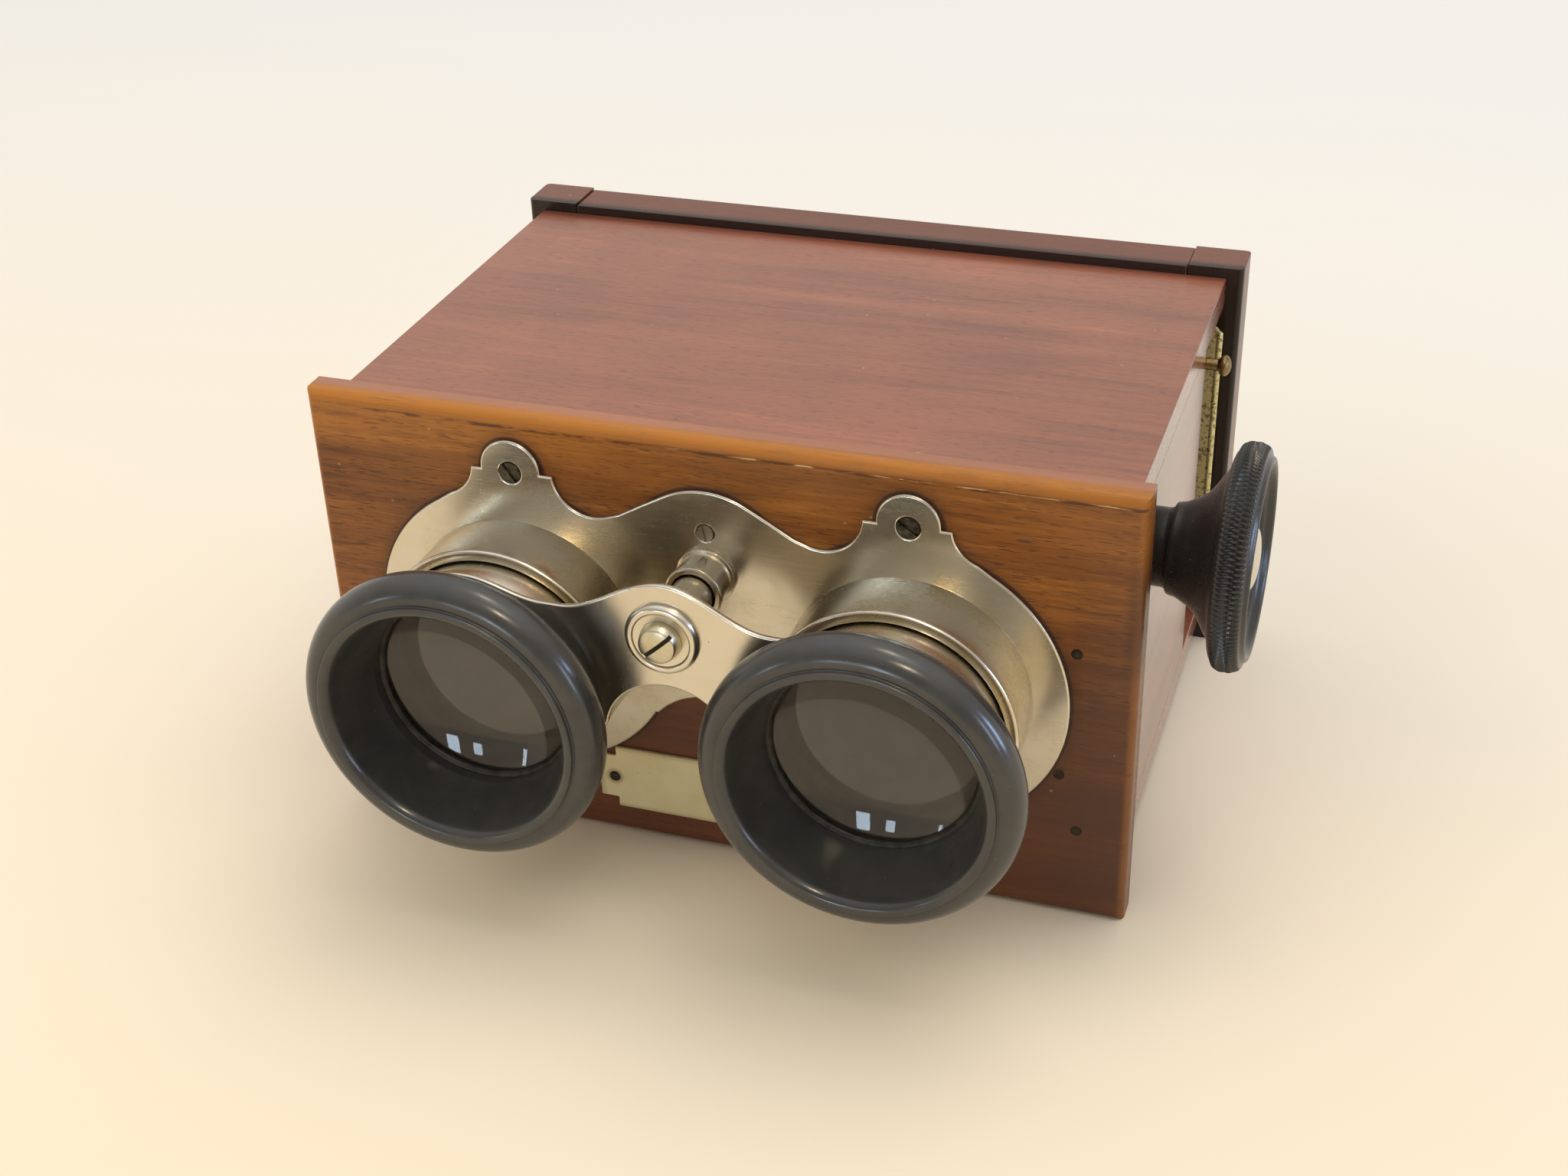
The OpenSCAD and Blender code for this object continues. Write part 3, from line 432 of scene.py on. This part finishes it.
def ivory():
    b = Mat("ivory_plaque")
    b.P()
    cloud = b.noise(b.stretch((0.12, 0.12, 0.12)), 1.0, 4.0, 0.6)
    fine = b.noise(b.stretch((1.4, 1.4, 1.4)), 1.0, 3.0, 0.6)
    colour = b.ramp(cloud, [(0.25, (0.80, 0.70, 0.39)), (0.75, (0.90, 0.81, 0.52))])
    # yellowed edges and a brown stain round each pin
    ex = b.span(b.math("ABSOLUTE", b.x), 19.4, 20.8)
    ez = b.span(b.math("ABSOLUTE", b.math("SUBTRACT", b.z, 11.3)), 4.9, 5.9)
    colour = b.mix(b.math("MULTIPLY", b.math("MAXIMUM", ex, ez), 0.5), colour, (0.42, 0.30, 0.12))
    dx = b.math("SUBTRACT", b.math("ABSOLUTE", b.x), 18.2)
    dz = b.math("SUBTRACT", b.z, 11.3)
    d = b.math("SQRT", b.math("ADD", b.math("MULTIPLY", dx, dx), b.math("MULTIPLY", dz, dz)))
    colour = b.mix(b.span(d, 1.9, 0.9, 0.0, 0.6), colour, (0.25, 0.15, 0.06))
    specks = b.math("MULTIPLY", b.span(b.voronoi(b.stretch((0.5, 0.5, 0.5)), 1.0), 0.09, 0.03), 0.5)
    colour = b.mix(specks, colour, (0.30, 0.20, 0.10))
    return b.shader(Base_Color=colour, Roughness=b.span(fine, 0.3, 0.7, 0.34, 0.5), IOR=1.5, Subsurface_Weight=0.08,
                    Normal=b.bump(fine, 0.06, 0.00005))


def dark_pin():
    b = Mat("dark_pins")
    n = b.noise(b.stretch((1.2, 1.2, 1.2)), 1.0, 4.0, 0.6)
    colour = b.ramp(n, [(0.3, (0.018, 0.014, 0.010)), (0.7, (0.060, 0.045, 0.032))])
    return b.shader(Base_Color=colour, Metallic=0.7, Roughness=b.span(n, 0.3, 0.7, 0.35, 0.6), Normal=b.bump(n, 0.2, 0.00006))


def screw_mix():
    """Ear screws are dark, the small screw at the middle has the plate's finish."""
    b = Mat("plate_screws")
    b.P()
    n = b.noise(b.stretch((0.9, 0.9, 0.9)), 1.0, 4.0, 0.6)
    dark = b.ramp(n, [(0.3, (0.085, 0.080, 0.060)), (0.7, (0.21, 0.19, 0.135))])
    middle = b.span(b.math("ABSOLUTE", b.x), 12.0, 10.0)
    colour = b.mix(middle, dark, (0.52, 0.46, 0.35))
    return b.shader(Base_Color=colour, Metallic=1.0, Roughness=b.span(n, 0.3, 0.7, 0.26, 0.42), Normal=b.bump(n, 0.12, 0.00005))


BLACKBOARD, STEEL, RING, LINING = blackboard(), steel(), black_ring(), tube_inside()
GLASS, GROUND, IVORY, PIN, SCREWS = lens_glass(), ground_glass(), ivory(), dark_pin(), screw_mix()

# ---------------------------------------------------------------- mesh helpers


def soft(points, r, n=3, closed=True):
    """Rounds the corners of an outline by up to r, with n steps to a corner."""
    out, m = [], len(points)
    for i, p in enumerate(points):
        if not closed and i in (0, m - 1):
            out.append(p)
            continue
        a, q = Vector(points[i - 1]), Vector(points[(i + 1) % m])
        p = Vector(p)
        da, dq = (a - p), (q - p)
        if da.length < 1e-9 or dq.length < 1e-9 or da.angle(dq) > math.radians(155):
            out.append(tuple(p))
            continue
        d = min(r, 0.45 * da.length, 0.45 * dq.length)
        s, e = p + da.normalized() * d, p + dq.normalized() * d
        for k in range(n + 1):
            t = k / n
            out.append(tuple(s * (1 - t) ** 2 + p * 2 * t * (1 - t) + e * t * t))
    return out


def arc(cx, cy, rx, ry, a0, a1, n):
    return [(cx + rx * math.cos(math.radians(a0 + (a1 - a0) * i / n)), cy + ry * math.sin(math.radians(a0 + (a1 - a0) * i / n)))
            for i in range(n + 1)]


def to_object(bm, name, material, crease=34):
    bmesh.ops.remove_doubles(bm, verts=bm.verts, dist=1e-7)
    bmesh.ops.recalc_face_normals(bm, faces=bm.faces)
    for f in bm.faces:
        f.smooth = True
    for e in bm.edges:
        if len(e.link_faces) == 2 and e.calc_face_angle(0) > math.radians(crease):
            e.smooth = False
    me = bpy.data.meshes.new(name)
    bm.to_mesh(me)
    bm.free()
    ob = bpy.data.objects.new(name, me)
    bpy.context.scene.collection.objects.link(ob)
    me.materials.append(material)
    return ob


def lathe(name, profile, at, axis, segs, material, closed=True, change=None, crease=34):
    """Turns an outline of (radius, height) in mm about an axis through at. axis is '-y' or '+x'. Points with radius 0 close on the axis."""
    bm = bmesh.new()
    rings = []
    for i, (r, h) in enumerate(profile):
        ring = []
        for k in range(1 if r < 1e-6 else segs):
            a = 2 * math.pi * k / segs
            rr = r + (change(i, r, h, a) if change else 0.0)
            c, s = rr * math.cos(a), rr * math.sin(a)
            p = (at[0] + c, at[1] - h, at[2] + s) if axis == "-y" else (at[0] + h, at[1] + c, at[2] + s)
            ring.append(bm.verts.new((p[0] * MM, p[1] * MM, p[2] * MM)))
        rings.append(ring)
    m = len(rings)
    for i in range(m if closed else m - 1):
        a, b = rings[i], rings[(i + 1) % m]
        if len(a) == 1 and len(b) == 1:
            continue
        for k in range(segs):
            k2 = (k + 1) % segs
            if len(a) == 1:
                bm.faces.new((a[0], b[k], b[k2]))
            elif len(b) == 1:
                bm.faces.new((a[k], b[0], a[k2]))
            else:
                bm.faces.new((a[k], b[k], b[k2], a[k2]))
    return to_object(bm, name, material, crease)


def sheet_metal(name, outline, holes, y0, y1, material, edge=0.14):
    """A flat plate in X and Z between y0 and y1 (mm) with softened edges. holes are (x, z, r)."""
    cu = bpy.data.curves.new(name + "_line", "CURVE")
    cu.dimensions = "2D"
    cu.fill_mode = "BOTH"
    loops = [outline] + [arc(x, z, r, r, 0, 360 * (1 - 1 / 128), 127) for x, z, r in holes]
    for loop in loops:
        sp = cu.splines.new("POLY")
        sp.points.add(len(loop) - 1)
        for pt, (x, z) in zip(sp.points, loop):
            pt.co = (x * MM, z * MM, 0, 1)
        sp.use_cyclic_u = True
    half = (y1 - y0) / 2
    cu.extrude = (half - edge) * MM
    cu.bevel_depth = edge * MM
    cu.bevel_resolution = 2
    cu.offset = -edge * MM
    tmp = bpy.data.objects.new(name + "_line", cu)
    bpy.context.scene.collection.objects.link(tmp)
    bpy.context.view_layer.update()
    me = bpy.data.meshes.new_from_object(tmp.evaluated_get(bpy.context.evaluated_depsgraph_get()))
    bpy.data.objects.remove(tmp)
    # the curve's plane becomes X and Z, its front faces -Y
    me.transform(Matrix.Translation((0, (y0 + y1) / 2 * MM, 0)) @ Matrix.Rotation(math.radians(90), 4, "X"))
    bm = bmesh.new()
    bm.from_mesh(me)
    bpy.data.meshes.remove(me)
    ob = to_object(bm, name, material, 50)
    bm = bmesh.new()
    bm.from_mesh(ob.data)
    for e in bm.edges:
        if len(e.link_faces) == 2 and sum(abs(f.normal.y) > 0.9995 for f in e.link_faces) == 1:
            e.smooth = False
    for f in bm.faces:
        if abs(f.normal.y) > 0.9995:
            f.smooth = False
    bm.to_mesh(ob.data)
    bm.free()
    return ob


def spline(points, n=4):
    """A smooth curve through the points."""
    out = []
    for i in range(len(points) - 1):
        p0, p1, p2, p3 = [Vector(points[min(max(j, 0), len(points) - 1)]) for j in (i - 1, i, i + 1, i + 2)]
        for k in range(n):
            t = k / n
            out.append(tuple(0.5 * (2 * p1 + (p2 - p0) * t + (2 * p0 - 5 * p1 + 4 * p2 - p3) * t * t + (3 * p1 - p0 - 3 * p2 + p3) * t ** 3)))
    return out + [tuple(points[-1])]


def cut(ob, size, at, turn):
    """Cuts a box from a mesh. turn is degrees about Y."""
    bm = bmesh.new()
    bmesh.ops.create_cube(bm, size=1.0)
    m = Matrix.Translation(Vector(at) * MM) @ Matrix.Rotation(math.radians(turn), 4, "Y") @ Matrix.Diagonal((*(Vector(size) * MM), 1))
    bmesh.ops.transform(bm, matrix=m, verts=bm.verts)
    tool = to_object(bm, ob.name + "_tool", ob.data.materials[0])
    mod = ob.modifiers.new("slot", "BOOLEAN")
    mod.operation, mod.solver, mod.object = "DIFFERENCE", "EXACT", tool
    bpy.context.view_layer.update()
    me = bpy.data.meshes.new_from_object(ob.evaluated_get(bpy.context.evaluated_depsgraph_get()))
    ob.modifiers.clear()
    ob.data = me
    bpy.data.objects.remove(tool)
    bm = bmesh.new()
    bm.from_mesh(me)
    for f in bm.faces:
        f.smooth = True
    for e in bm.edges:
        e.smooth = not (len(e.link_faces) == 2 and e.calc_face_angle(0) > math.radians(34))
    bm.to_mesh(me)
    bm.free()


def place(ob, body, slot, *nodes):
    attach(ob, body)
    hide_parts(*nodes)
    return ob


def finish_node(node, material, bevel=0.25, segs=3):
    """Keeps a CAD node, with its finish and softened arrises."""
    o = NODES[node]
    me = o.data
    if "custom_normal" in me.attributes:
        me.attributes.remove(me.attributes["custom_normal"])
    for p in me.polygons:
        p.use_smooth = True
        p.material_index = 0
    me.materials.clear()
    me.materials.append(material)
    weld = o.modifiers.new("weld", "WELD")
    weld.merge_threshold = 2e-6
    if bevel:
        bv = o.modifiers.new("arris", "BEVEL")
        bv.width, bv.segments, bv.limit_method = bevel * MM, segs, "ANGLE"
        bv.angle_limit = math.radians(33)
        bv.harden_normals = True
        bv.use_clamp_overlap = True
    wn = o.modifiers.new("normals", "WEIGHTED_NORMAL")
    wn.mode, wn.weight, wn.keep_sharp = "FACE_AREA", 90, True
    return o


# ---------------------------------------------------------------- CAD nodes that keep their shape

for n, mat, bev in [
    ("front_panel", FRONT, 0.2), ("top_board", TOP, 0.14), ("bottom_board", TOP, 0.2),
    ("left_board", SIDE, 0.10), ("right_board", SIDE, 0.10),
    ("rear_stile_left", STILE, 0.4), ("rear_stile_right", STILE, 0.4),
    ("rear_rail_top", RAIL, 0.4), ("rear_rail_bottom", RAIL, 0.3), ("glass_beads", RAIL, 0.12),
    ("septum", BLACKBOARD, 0.1), ("picture_mask", BLACKBOARD, 0.1),
    ("slide_rail", RAWWOOD, 0.1), ("slide_stop", RAWWOOD, 0.1),
    ("ground_glass", GROUND, 0.1), ("plaque_pins", PIN, 0.04), ("nail_plugs", PIN, 0.06),
    ("plate_screws", SCREWS, 0.04), ("guide_tube", NICKEL_TURNED, 0.06), ("guide_rod", NICKEL_TURNED, 0.04),
    ("shaft_bracket", BRASS, 0.08), ("bracket_screws", BRASS, 0.05), ("shaft_bush", BRASS, 0.08),
    ("ejector_guides", BRASS, 0.08), ("plate_pins", BRASS, 0.05), ("ejector_bar", KNOB, 0.08),
    ("focus_shaft", STEEL, 0.05), ("shaft_collar", BRASS, 0.08), ("focus_pinion", BRASS, 0.0),
    ("pressure_plate", TARNISHED, 0.08), ("pressure_springs", TARNISHED, 0.0),
]:
    finish_node(n, mat, bev)

# ---------------------------------------------------------------- leaf springs, copied from the CAD node; the script does not make them flatten as the plate goes back

leaves = bpy.data.objects.new("pressure_springs_leaves", NODES["pressure_springs"].data.copy())
bpy.context.scene.collection.objects.link(leaves)
weld = leaves.modifiers.new("weld", "WELD")
weld.merge_threshold = 2e-6
wn = leaves.modifiers.new("normals", "WEIGHTED_NORMAL")
wn.mode, wn.weight, wn.keep_sharp = "FACE_AREA", 90, True
place(leaves, "case", "tarnished_brass", "pressure_springs")
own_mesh(leaves)

# ---------------------------------------------------------------- nickelled plates


def flip(line):
    return [(x, 2 * LH - z) for x, z in reversed(line)]


def both(line):
    return line + [(-x, z) for x, z in reversed(line[1:-1])]


ear = [(24.54, 65.9)] + arc(LX, 66.2, 4.9, 4.9, 183.5, -3.5, 34) + arc(44.1, 66.5, 6.05, 6.05, 185.7, 250, 16)
plate_line = both(
    arc(0, 53.75, 13.25, 13.25, 90, 60.6, 14) + [(10.2, 63.2), (14, 60.95)] + arc(18.2, 66.2, 6.35, 6.35, 247, 355, 24) + ear
    + arc(LX, LH, 24.8, 24.8, 59.2, -59.2, 70) + [q for q in flip(ear) if q[0] > 26]
    + arc(20.4, 10.2, 4.9, 4.9, 0, 75, 12) + arc(LX, LH, 24.8, 24.8, 247.2, 210, 20) + arc(0, 17.5, 12.5, 12.5, 39.8, 90, 14))
plate = sheet_metal("nickel_front_plate", plate_line,
                    [(-LX, LH, 18.72), (LX, LH, 18.72), (0, ROD_H, 4.22), (0, 60, 1.4)]
                    + [(s * LX, z, 1.78) for s in (-1, 1) for z in (10.3, 65.7)], YF - PLATE_T, YF, NICKEL_PLATE, 0.30)
place(plate, "case", "nickel", "front_plate")


def crest(x):
    if x < 16.5:
        return 55.5 + 6 * (0.5 + 0.5 * math.cos(math.pi * x / 16.5))
    if x < 19:
        return 55.5
    return 55.5 + (LH + 20.2 - 55.5) * (0.5 - 0.5 * math.cos(math.pi * (x - 19) / (LX - 19)))


bridge_line = both([(LX * i / 48, crest(LX * i / 48)) for i in range(49)] + arc(LX, LH, 20.2, 20.2, 88, -162.8, 110)
                   + arc(0, 34.3, 10.05, 10.05, 10, 90, 22))
bridge = sheet_metal("nickel_bridge", bridge_line, [(-LX, LH, 17.55), (LX, LH, 17.55), (0, ROD_H, 1.6)], YBR, YBB, NICKEL_BRIGHT, 0.27)
place(bridge, "carriage", "nickel", "bridge_plate")

pz0, pz1, pw = 5.4, 17.2, 20.8
plaque_line = [(-pw, pz0 + 1.8), (-pw + 3, pz0 + 1.8), (-pw + 3, pz0), (pw - 3, pz0), (pw - 3, pz0 + 1.8), (pw, pz0 + 1.8),
               (pw, pz1 - 1.8), (pw - 3, pz1 - 1.8), (pw - 3, pz1), (-pw + 3, pz1), (-pw + 3, pz1 - 1.8), (-pw, pz1 - 1.8)]
plq = sheet_metal("celluloid_plaque", soft(plaque_line, 0.22, 3), [(-18.2, 11.3, 0.7), (18.2, 11.3, 0.7)], YF - 0.6, YF, IVORY, 0.13)
place(plq, "case", "ivory_plaque", "plaque")

# ---------------------------------------------------------------- barrels, tubes, lenses, eyecups

for side, s in (("left", -1), ("right", 1)):
    at = (s * LX, YF, LH)
    prof = ([(17.9, -5.0), (17.9, 11.1), (17.98, 11.36), (18.2, 11.5)] + arc(19.1, 11.0, 0.5, 0.5, 90, -62, 16)
            + [(19.31, 10.5), (19.3, 10.3), (19.3, 1.0), (19.24, 0.82), (18.7, 0.8), (18.7, -5.0)])
    place(lathe("barrel_" + side, prof, at, "-y", 192, NICKEL_TURNED), "case", "nickel", "outer_barrel_" + side)

    at = (s * LX, YBR, LH)
    prof = [(16.9, 0), (16.9, -3.5), (16.6, -3.5), (15.9, -3.72), (15.9, -4.5), (16.9, -4.5), (16.9, -29.8), (17.6, -29.8), (17.6, 0)]
    tube = lathe("tube_" + side, soft(prof, 0.1, 2), at, "-y", 160, NICKEL_TURNED)
    tube.data.materials.append(LINING)
    for p in tube.data.polygons:
        c = p.center / MM
        if math.hypot(c.x - s * LX, c.z - LH) < 17.3 and c.y > YBR + 0.4:
            p.material_index = 1
    place(tube, "carriage", "nickel", "inner_tube_" + side)

    prof = [(15.4, -1.1), (15.4, -0.5), (15.9, 0), (16.9, 0), (16.9, -1.5), (16.6, -1.47)]
    place(lathe("lens_ring_" + side + "_bezel", soft(prof, 0.15, 3), at, "-y", 160, RING), "carriage", "black_ring", "lens_ring_" + side)

    radii = [16.55 * math.sin(math.pi / 2 * k / 20) for k in range(21)]
    bulge = [(r, math.sqrt(75 ** 2 - r * r) - math.sqrt(75 ** 2 - 16.55 ** 2)) for r in radii]
    prof = [(r, -1.5 + b) for r, b in bulge] + [(r, -3.5 - b) for r, b in reversed(bulge)]
    place(lathe("lens_" + side + "_glass", prof, at, "-y", 128, GLASS, closed=False), "carriage", "lens_glass", "lens_" + side)

    h = CUP_H + (0.5 if s < 0 else -0.5)
    f = h + 4.3
    inner = [(16.3, 0)] + spline([(16.36, f - 10.3), (16.42, f - 10), (16.7, f - 9), (17.2, f - 7.4), (17.65, f - 5.8), (18.05, f - 4.3),
             (18.35, f - 3.0), (18.6, f - 2.0), (18.82, f - 1.25), (19.08, f - 0.7), (19.4, f - 0.3), (19.75, f - 0.08), (20.1, f), (20.46, f)], 4)
    inner += [(20.56, f - 0.02), (20.63, f - 0.07), (20.68, f - 0.16), (20.70, f - 0.3), (20.73, f - 0.6), (20.77, f - 0.69), (20.84, f - 0.73)]
    prof = (inner + arc(CUP_R, h, 3.06, 3.6, 95, -58, 50) + arc(22.4, h - 5.2, 2.7, 2.1, 78, 180, 14) + [(19.7, 0)])
    place(lathe("eyecup_" + side + "_shell", prof, at, "-y", 224, EBONITE, crease=75), "carriage", "ebonite", "eyecup_" + side)

# ---------------------------------------------------------------- bridge screw and its washer

prof = [(1.55, 0), (5.8, 0), (5.8, 0.3), (5.72, 0.58), (5.6, 0.8), (5.48, 0.96), (5.33, 1.09), (5.16, 1.17), (5.0, 1.2), (4.82, 1.2), (4.66, 1.18),
        (4.52, 1.10), (4.42, 0.97), (4.36, 0.82), (4.26, 0.8), (1.55, 0.8)]
place(lathe("bridge_washer_turned", prof, (0, YBR, ROD_H), "-y", 96, NICKEL_BRIGHT, crease=40), "carriage", "nickel", "bridge_washer")
prof = [(0, -8.9), (1.5, -8.9), (1.5, -0.05), (3.1, 0.0), (3.2, 0.1), (3.2, 0.5), (3.02, 1.15), (2.85, 1.72), (2.79, 1.85), (2.68, 1.94), (2.4, 2.04),
        (2.0, 2.15), (1.5, 2.25), (0.9, 2.32), (0, 2.35)]
head = lathe("bridge_screw_head", prof, (0, YBR - 0.8, ROD_H), "-y", 96, NICKEL_SCREW, closed=False, crease=40)
cut(head, (8, 2.2, 0.66), (0, YBR - 3.3, ROD_H), -42)
head.data.materials.append(PIN)
for p in head.data.polygons:
    c = p.center / MM - Vector((0, 0, ROD_H))
    across = c.x * math.sin(math.radians(42)) - c.z * math.cos(math.radians(42))
    if YBR - 2.9 < c.y < YBR - 2.15 and abs(across) < 0.36 and math.hypot(c.x, c.z) < 2.75:
        p.material_index = 1
place(head, "carriage", "nickel", "bridge_screw")

# ---------------------------------------------------------------- focusing wheel with its milled edge

TEETH = 128
hub = [(1.5, 63.8), (5.75, 63.8), (5.95, 64.0), (5.95, 66.2), (6.1, 66.7), (6.6, 67.0), (6.85, 67.15), (7.0, 67.7), (7.1, 68.3), (7.36, 68.9),
       (7.7, 69.5), (8.0, 70.1), (8.4, 70.7), (8.85, 71.25), (9.4, 71.8), (10.3, 72.45), (11.4, 73.1), (12.0, 73.5), (12.6, 73.9), (13.1, 74.2),
       (13.6, 74.42), (14.2, 74.55), (14.9, 74.62), (15.4, 74.8), (15.7, 75.0)]
rim = [(16.40, 75.30), (16.66, 75.48), (16.86, 75.72), (17.0, 76.05), (17.07, 76.4), (17.12, 76.8), (17.13, 77.25), (17.12, 77.62),
       (17.09, 77.70), (17.11, 77.78), (17.07, 78.05), (16.98, 78.4), (16.80, 78.75), (16.55, 79.08), (16.2, 79.35)]
SPLIT = 77.70
dish = [(15.75, 79.42), (15.45, 79.55), (15.25, 79.85), (15.0, 80.12), (14.7, 80.2), (14.3, 80.1), (14.0, 79.8), (13.75, 79.3), (13.5, 78.95),
        (13.0, 78.65), (12.0, 78.5), (10.5, 78.4), (8.0, 78.35), (4.5, 78.3), (1.5, 78.3)]
depth = {}
for i, (r, x) in enumerate(hub + rim + dish):
    k = 0.0
    if len(hub) <= i < len(hub) + len(rim):
        k = min(1.0, max(0.0, (r - 16.3) / 0.45)) * (1.0 if abs(x - SPLIT) > 0.03 else 0.75)
    depth[i] = k


def milled(i, r, h, a):
    k = depth[i]
    if not k:
        return 0.0
    lean = 0.9 * (h - 76.5) if h < SPLIT else math.pi + 0.7 * (78.4 - h)
    return -0.52 * k * (0.5 - 0.5 * math.cos(TEETH * a + lean)) ** 0.6


wheel = lathe("focus_wheel_milled", hub + rim + dish, (0, SHAFT_Y, SHAFT_H), "+x", TEETH * 5, EBONITE_WHEEL, change=milled, crease=60)
place(wheel, "focus", "ebonite", "focus_wheel")
prof = [(0, 0), (4.6, 0), (4.7, 0.1), (4.7, 0.42)] + arc(0, 0.5, 4.7, 1.1, 4, 90, 18)
prof = prof[:-1] + [(0, 1.6)]
place(lathe("wheel_cap_dome", prof, (78.3, SHAFT_Y, SHAFT_H), "+x", 96, NICKEL_BRIGHT, closed=False), "focus", "nickel", "wheel_cap")
prof = [(0, 0), (0.95, 0), (1.0, 0.1)] + arc(0, 1.1, 1.75, 1.1, -50, 90, 24)
prof = prof[:-1] + [(0, 2.2)]
place(lathe("ejector_knob_turned", prof, (65.4, 65, 64.6), "+x", 64, KNOB, closed=False), "ejector", "brass", "ejector_knob")

# ---------------------------------------------------------------- stage, light, camera


def floor_material():
    b = Mat("paper_floor")
    b.P()
    n = b.noise(b.stretch((0.010, 0.010, 0.010)), 1.0, 3.0, 0.5)
    f = b.noise(b.stretch((0.35, 0.35, 0.35)), 1.0, 4.0, 0.6)
    back = b.span(b.math("MULTIPLY_ADD", n, 90.0, b.y), -180.0, 520.0)
    colour = b.mix(back, (0.83, 0.715, 0.530), (0.74, 0.735, 0.725))
    return b.shader(Base_Color=colour, Roughness=b.span(f, 0.2, 0.8, 0.75, 0.9), Specular_IOR_Level=0.2, Normal=b.bump(f, 0.05, 0.0002))


bm = bmesh.new()
bmesh.ops.create_grid(bm, x_segments=8, y_segments=8, size=6.0)
floor = to_object(bm, "stage_floor", floor_material())

world = bpy.data.worlds.new("studio")
bpy.context.scene.world = world
world.use_nodes = True
wt = world.node_tree
wt.nodes.clear()
wo = wt.nodes.new("ShaderNodeOutputWorld")
bg = wt.nodes.new("ShaderNodeBackground")
tc = wt.nodes.new("ShaderNodeTexCoord")
sp = wt.nodes.new("ShaderNodeSeparateXYZ")
wt.links.new(tc.outputs["Generated"], sp.inputs[0])
up = wt.nodes.new("ShaderNodeValToRGB")
up.color_ramp.interpolation = "EASE"
for e, (p, c) in zip([up.color_ramp.elements[0], up.color_ramp.elements[1], up.color_ramp.elements.new(0.5)],
                     [(0.0, (0.86, 0.82, 0.77)), (1.0, (0.50, 0.47, 0.43)), (0.45, (0.58, 0.54, 0.48))]):
    e.position = p
    e.color = (*c, 1)
wt.links.new(sp.outputs[2], up.inputs[0])
room = wt.nodes.new("ShaderNodeMapRange")
room.interpolation_type = "SMOOTHSTEP"
for k, v in (("From Min", -0.9), ("From Max", 0.3), ("To Min", 0.62), ("To Max", 1.2)):
    room.inputs[k].default_value = v
wt.links.new(sp.outputs[1], room.inputs["Value"])
wt.links.new(up.outputs[0], bg.inputs[0])
wt.links.new(room.outputs[0], bg.inputs[1])
wt.links.new(bg.outputs[0], wo.inputs[0])


def area(name, at, size, colour, watts, aim=(0, 0.03, 0.03), spread=180, diffuse=True, glossy=True):
    li = bpy.data.lights.new(name, "AREA")
    li.shape = "RECTANGLE"
    li.size, li.size_y = size
    li.color = colour
    li.energy = watts
    li.spread = math.radians(spread)
    ob = bpy.data.objects.new(name, li)
    bpy.context.scene.collection.objects.link(ob)
    ob.location = at
    ob.rotation_euler = (Vector(aim) - Vector(at)).to_track_quat("-Z", "Y").to_euler()
    ob.visible_camera = False
    ob.visible_diffuse = diffuse
    ob.visible_glossy = glossy
    return ob


area("key_ceiling", (0.34, 0.34, 1.55), (1.2, 1.0), (1.0, 0.97, 0.93), 10.0, glossy=False)
area("soft_ceiling", (0.36, 0.20, 1.50), (0.55, 0.40), (1.0, 0.92, 0.82), 0.95, diffuse=False)
area("fill_front", (-0.75, -0.95, 0.95), (1.1, 0.9), (1.0, 0.90, 0.74), 6.5, glossy=False)
area("warm_lamp", (0.30, -0.42, 0.95), (0.10, 0.10), (1.0, 0.80, 0.52), 1.7, diffuse=False)
area("warm_lamp_b", (0.12, 0.30, 1.30), (0.13, 0.13), (1.0, 0.84, 0.60), 1.2, diffuse=False)
area("window_a", (1.15, 0.12, 0.30), (0.14, 0.40), (0.42, 0.60, 1.0), 3.6, diffuse=False)
area("window_b", (1.05, -0.34, 0.30), (0.10, 0.36), (0.55, 0.72, 1.0), 1.2, diffuse=False)
for i, (turn, wide, high, watts) in enumerate([(6.0, 0.17, 0.30, 2.2), (18.5, 0.12, 0.20, 0.9), (45.0, 0.07, 0.30, 0.8)]):
    t = math.radians(turn)
    area("far_window_%d" % i, (0.02 - 1.6 * math.sin(t), -1.6 * math.cos(t), 0.25), (wide, high), (0.66, 0.82, 1.0), watts, diffuse=False)

cam_data = bpy.data.cameras.new("camera")
cam_data.lens = 49.59
cam_data.sensor_width = 36.0
cam_data.clip_start, cam_data.clip_end = 0.01, 50
cam = bpy.data.objects.new("camera", cam_data)
bpy.context.scene.collection.objects.link(cam)
az, el, roll = map(math.radians, (19.533, 31.200, 1.884))
fwd = Vector((-math.sin(az) * math.cos(el), math.cos(az) * math.cos(el), -math.sin(el)))
right = fwd.cross(Vector((0, 0, 1))).normalized()
down = fwd.cross(right)
r2 = math.cos(roll) * right + math.sin(roll) * down
d2 = -math.sin(roll) * right + math.cos(roll) * down
m = Matrix.Identity(4)
for i in range(3):
    m[i][0], m[i][1], m[i][2] = r2[i], -d2[i], -fwd[i]
m.translation = Vector((104.81, -264.16, 220.10)) * MM
cam.matrix_world = m
bpy.context.scene.camera = cam

scene = bpy.context.scene
scene.view_settings.view_transform = "Standard"
scene.view_settings.look = "None"
scene.view_settings.exposure = 0.0
scene.view_settings.gamma = 1.0
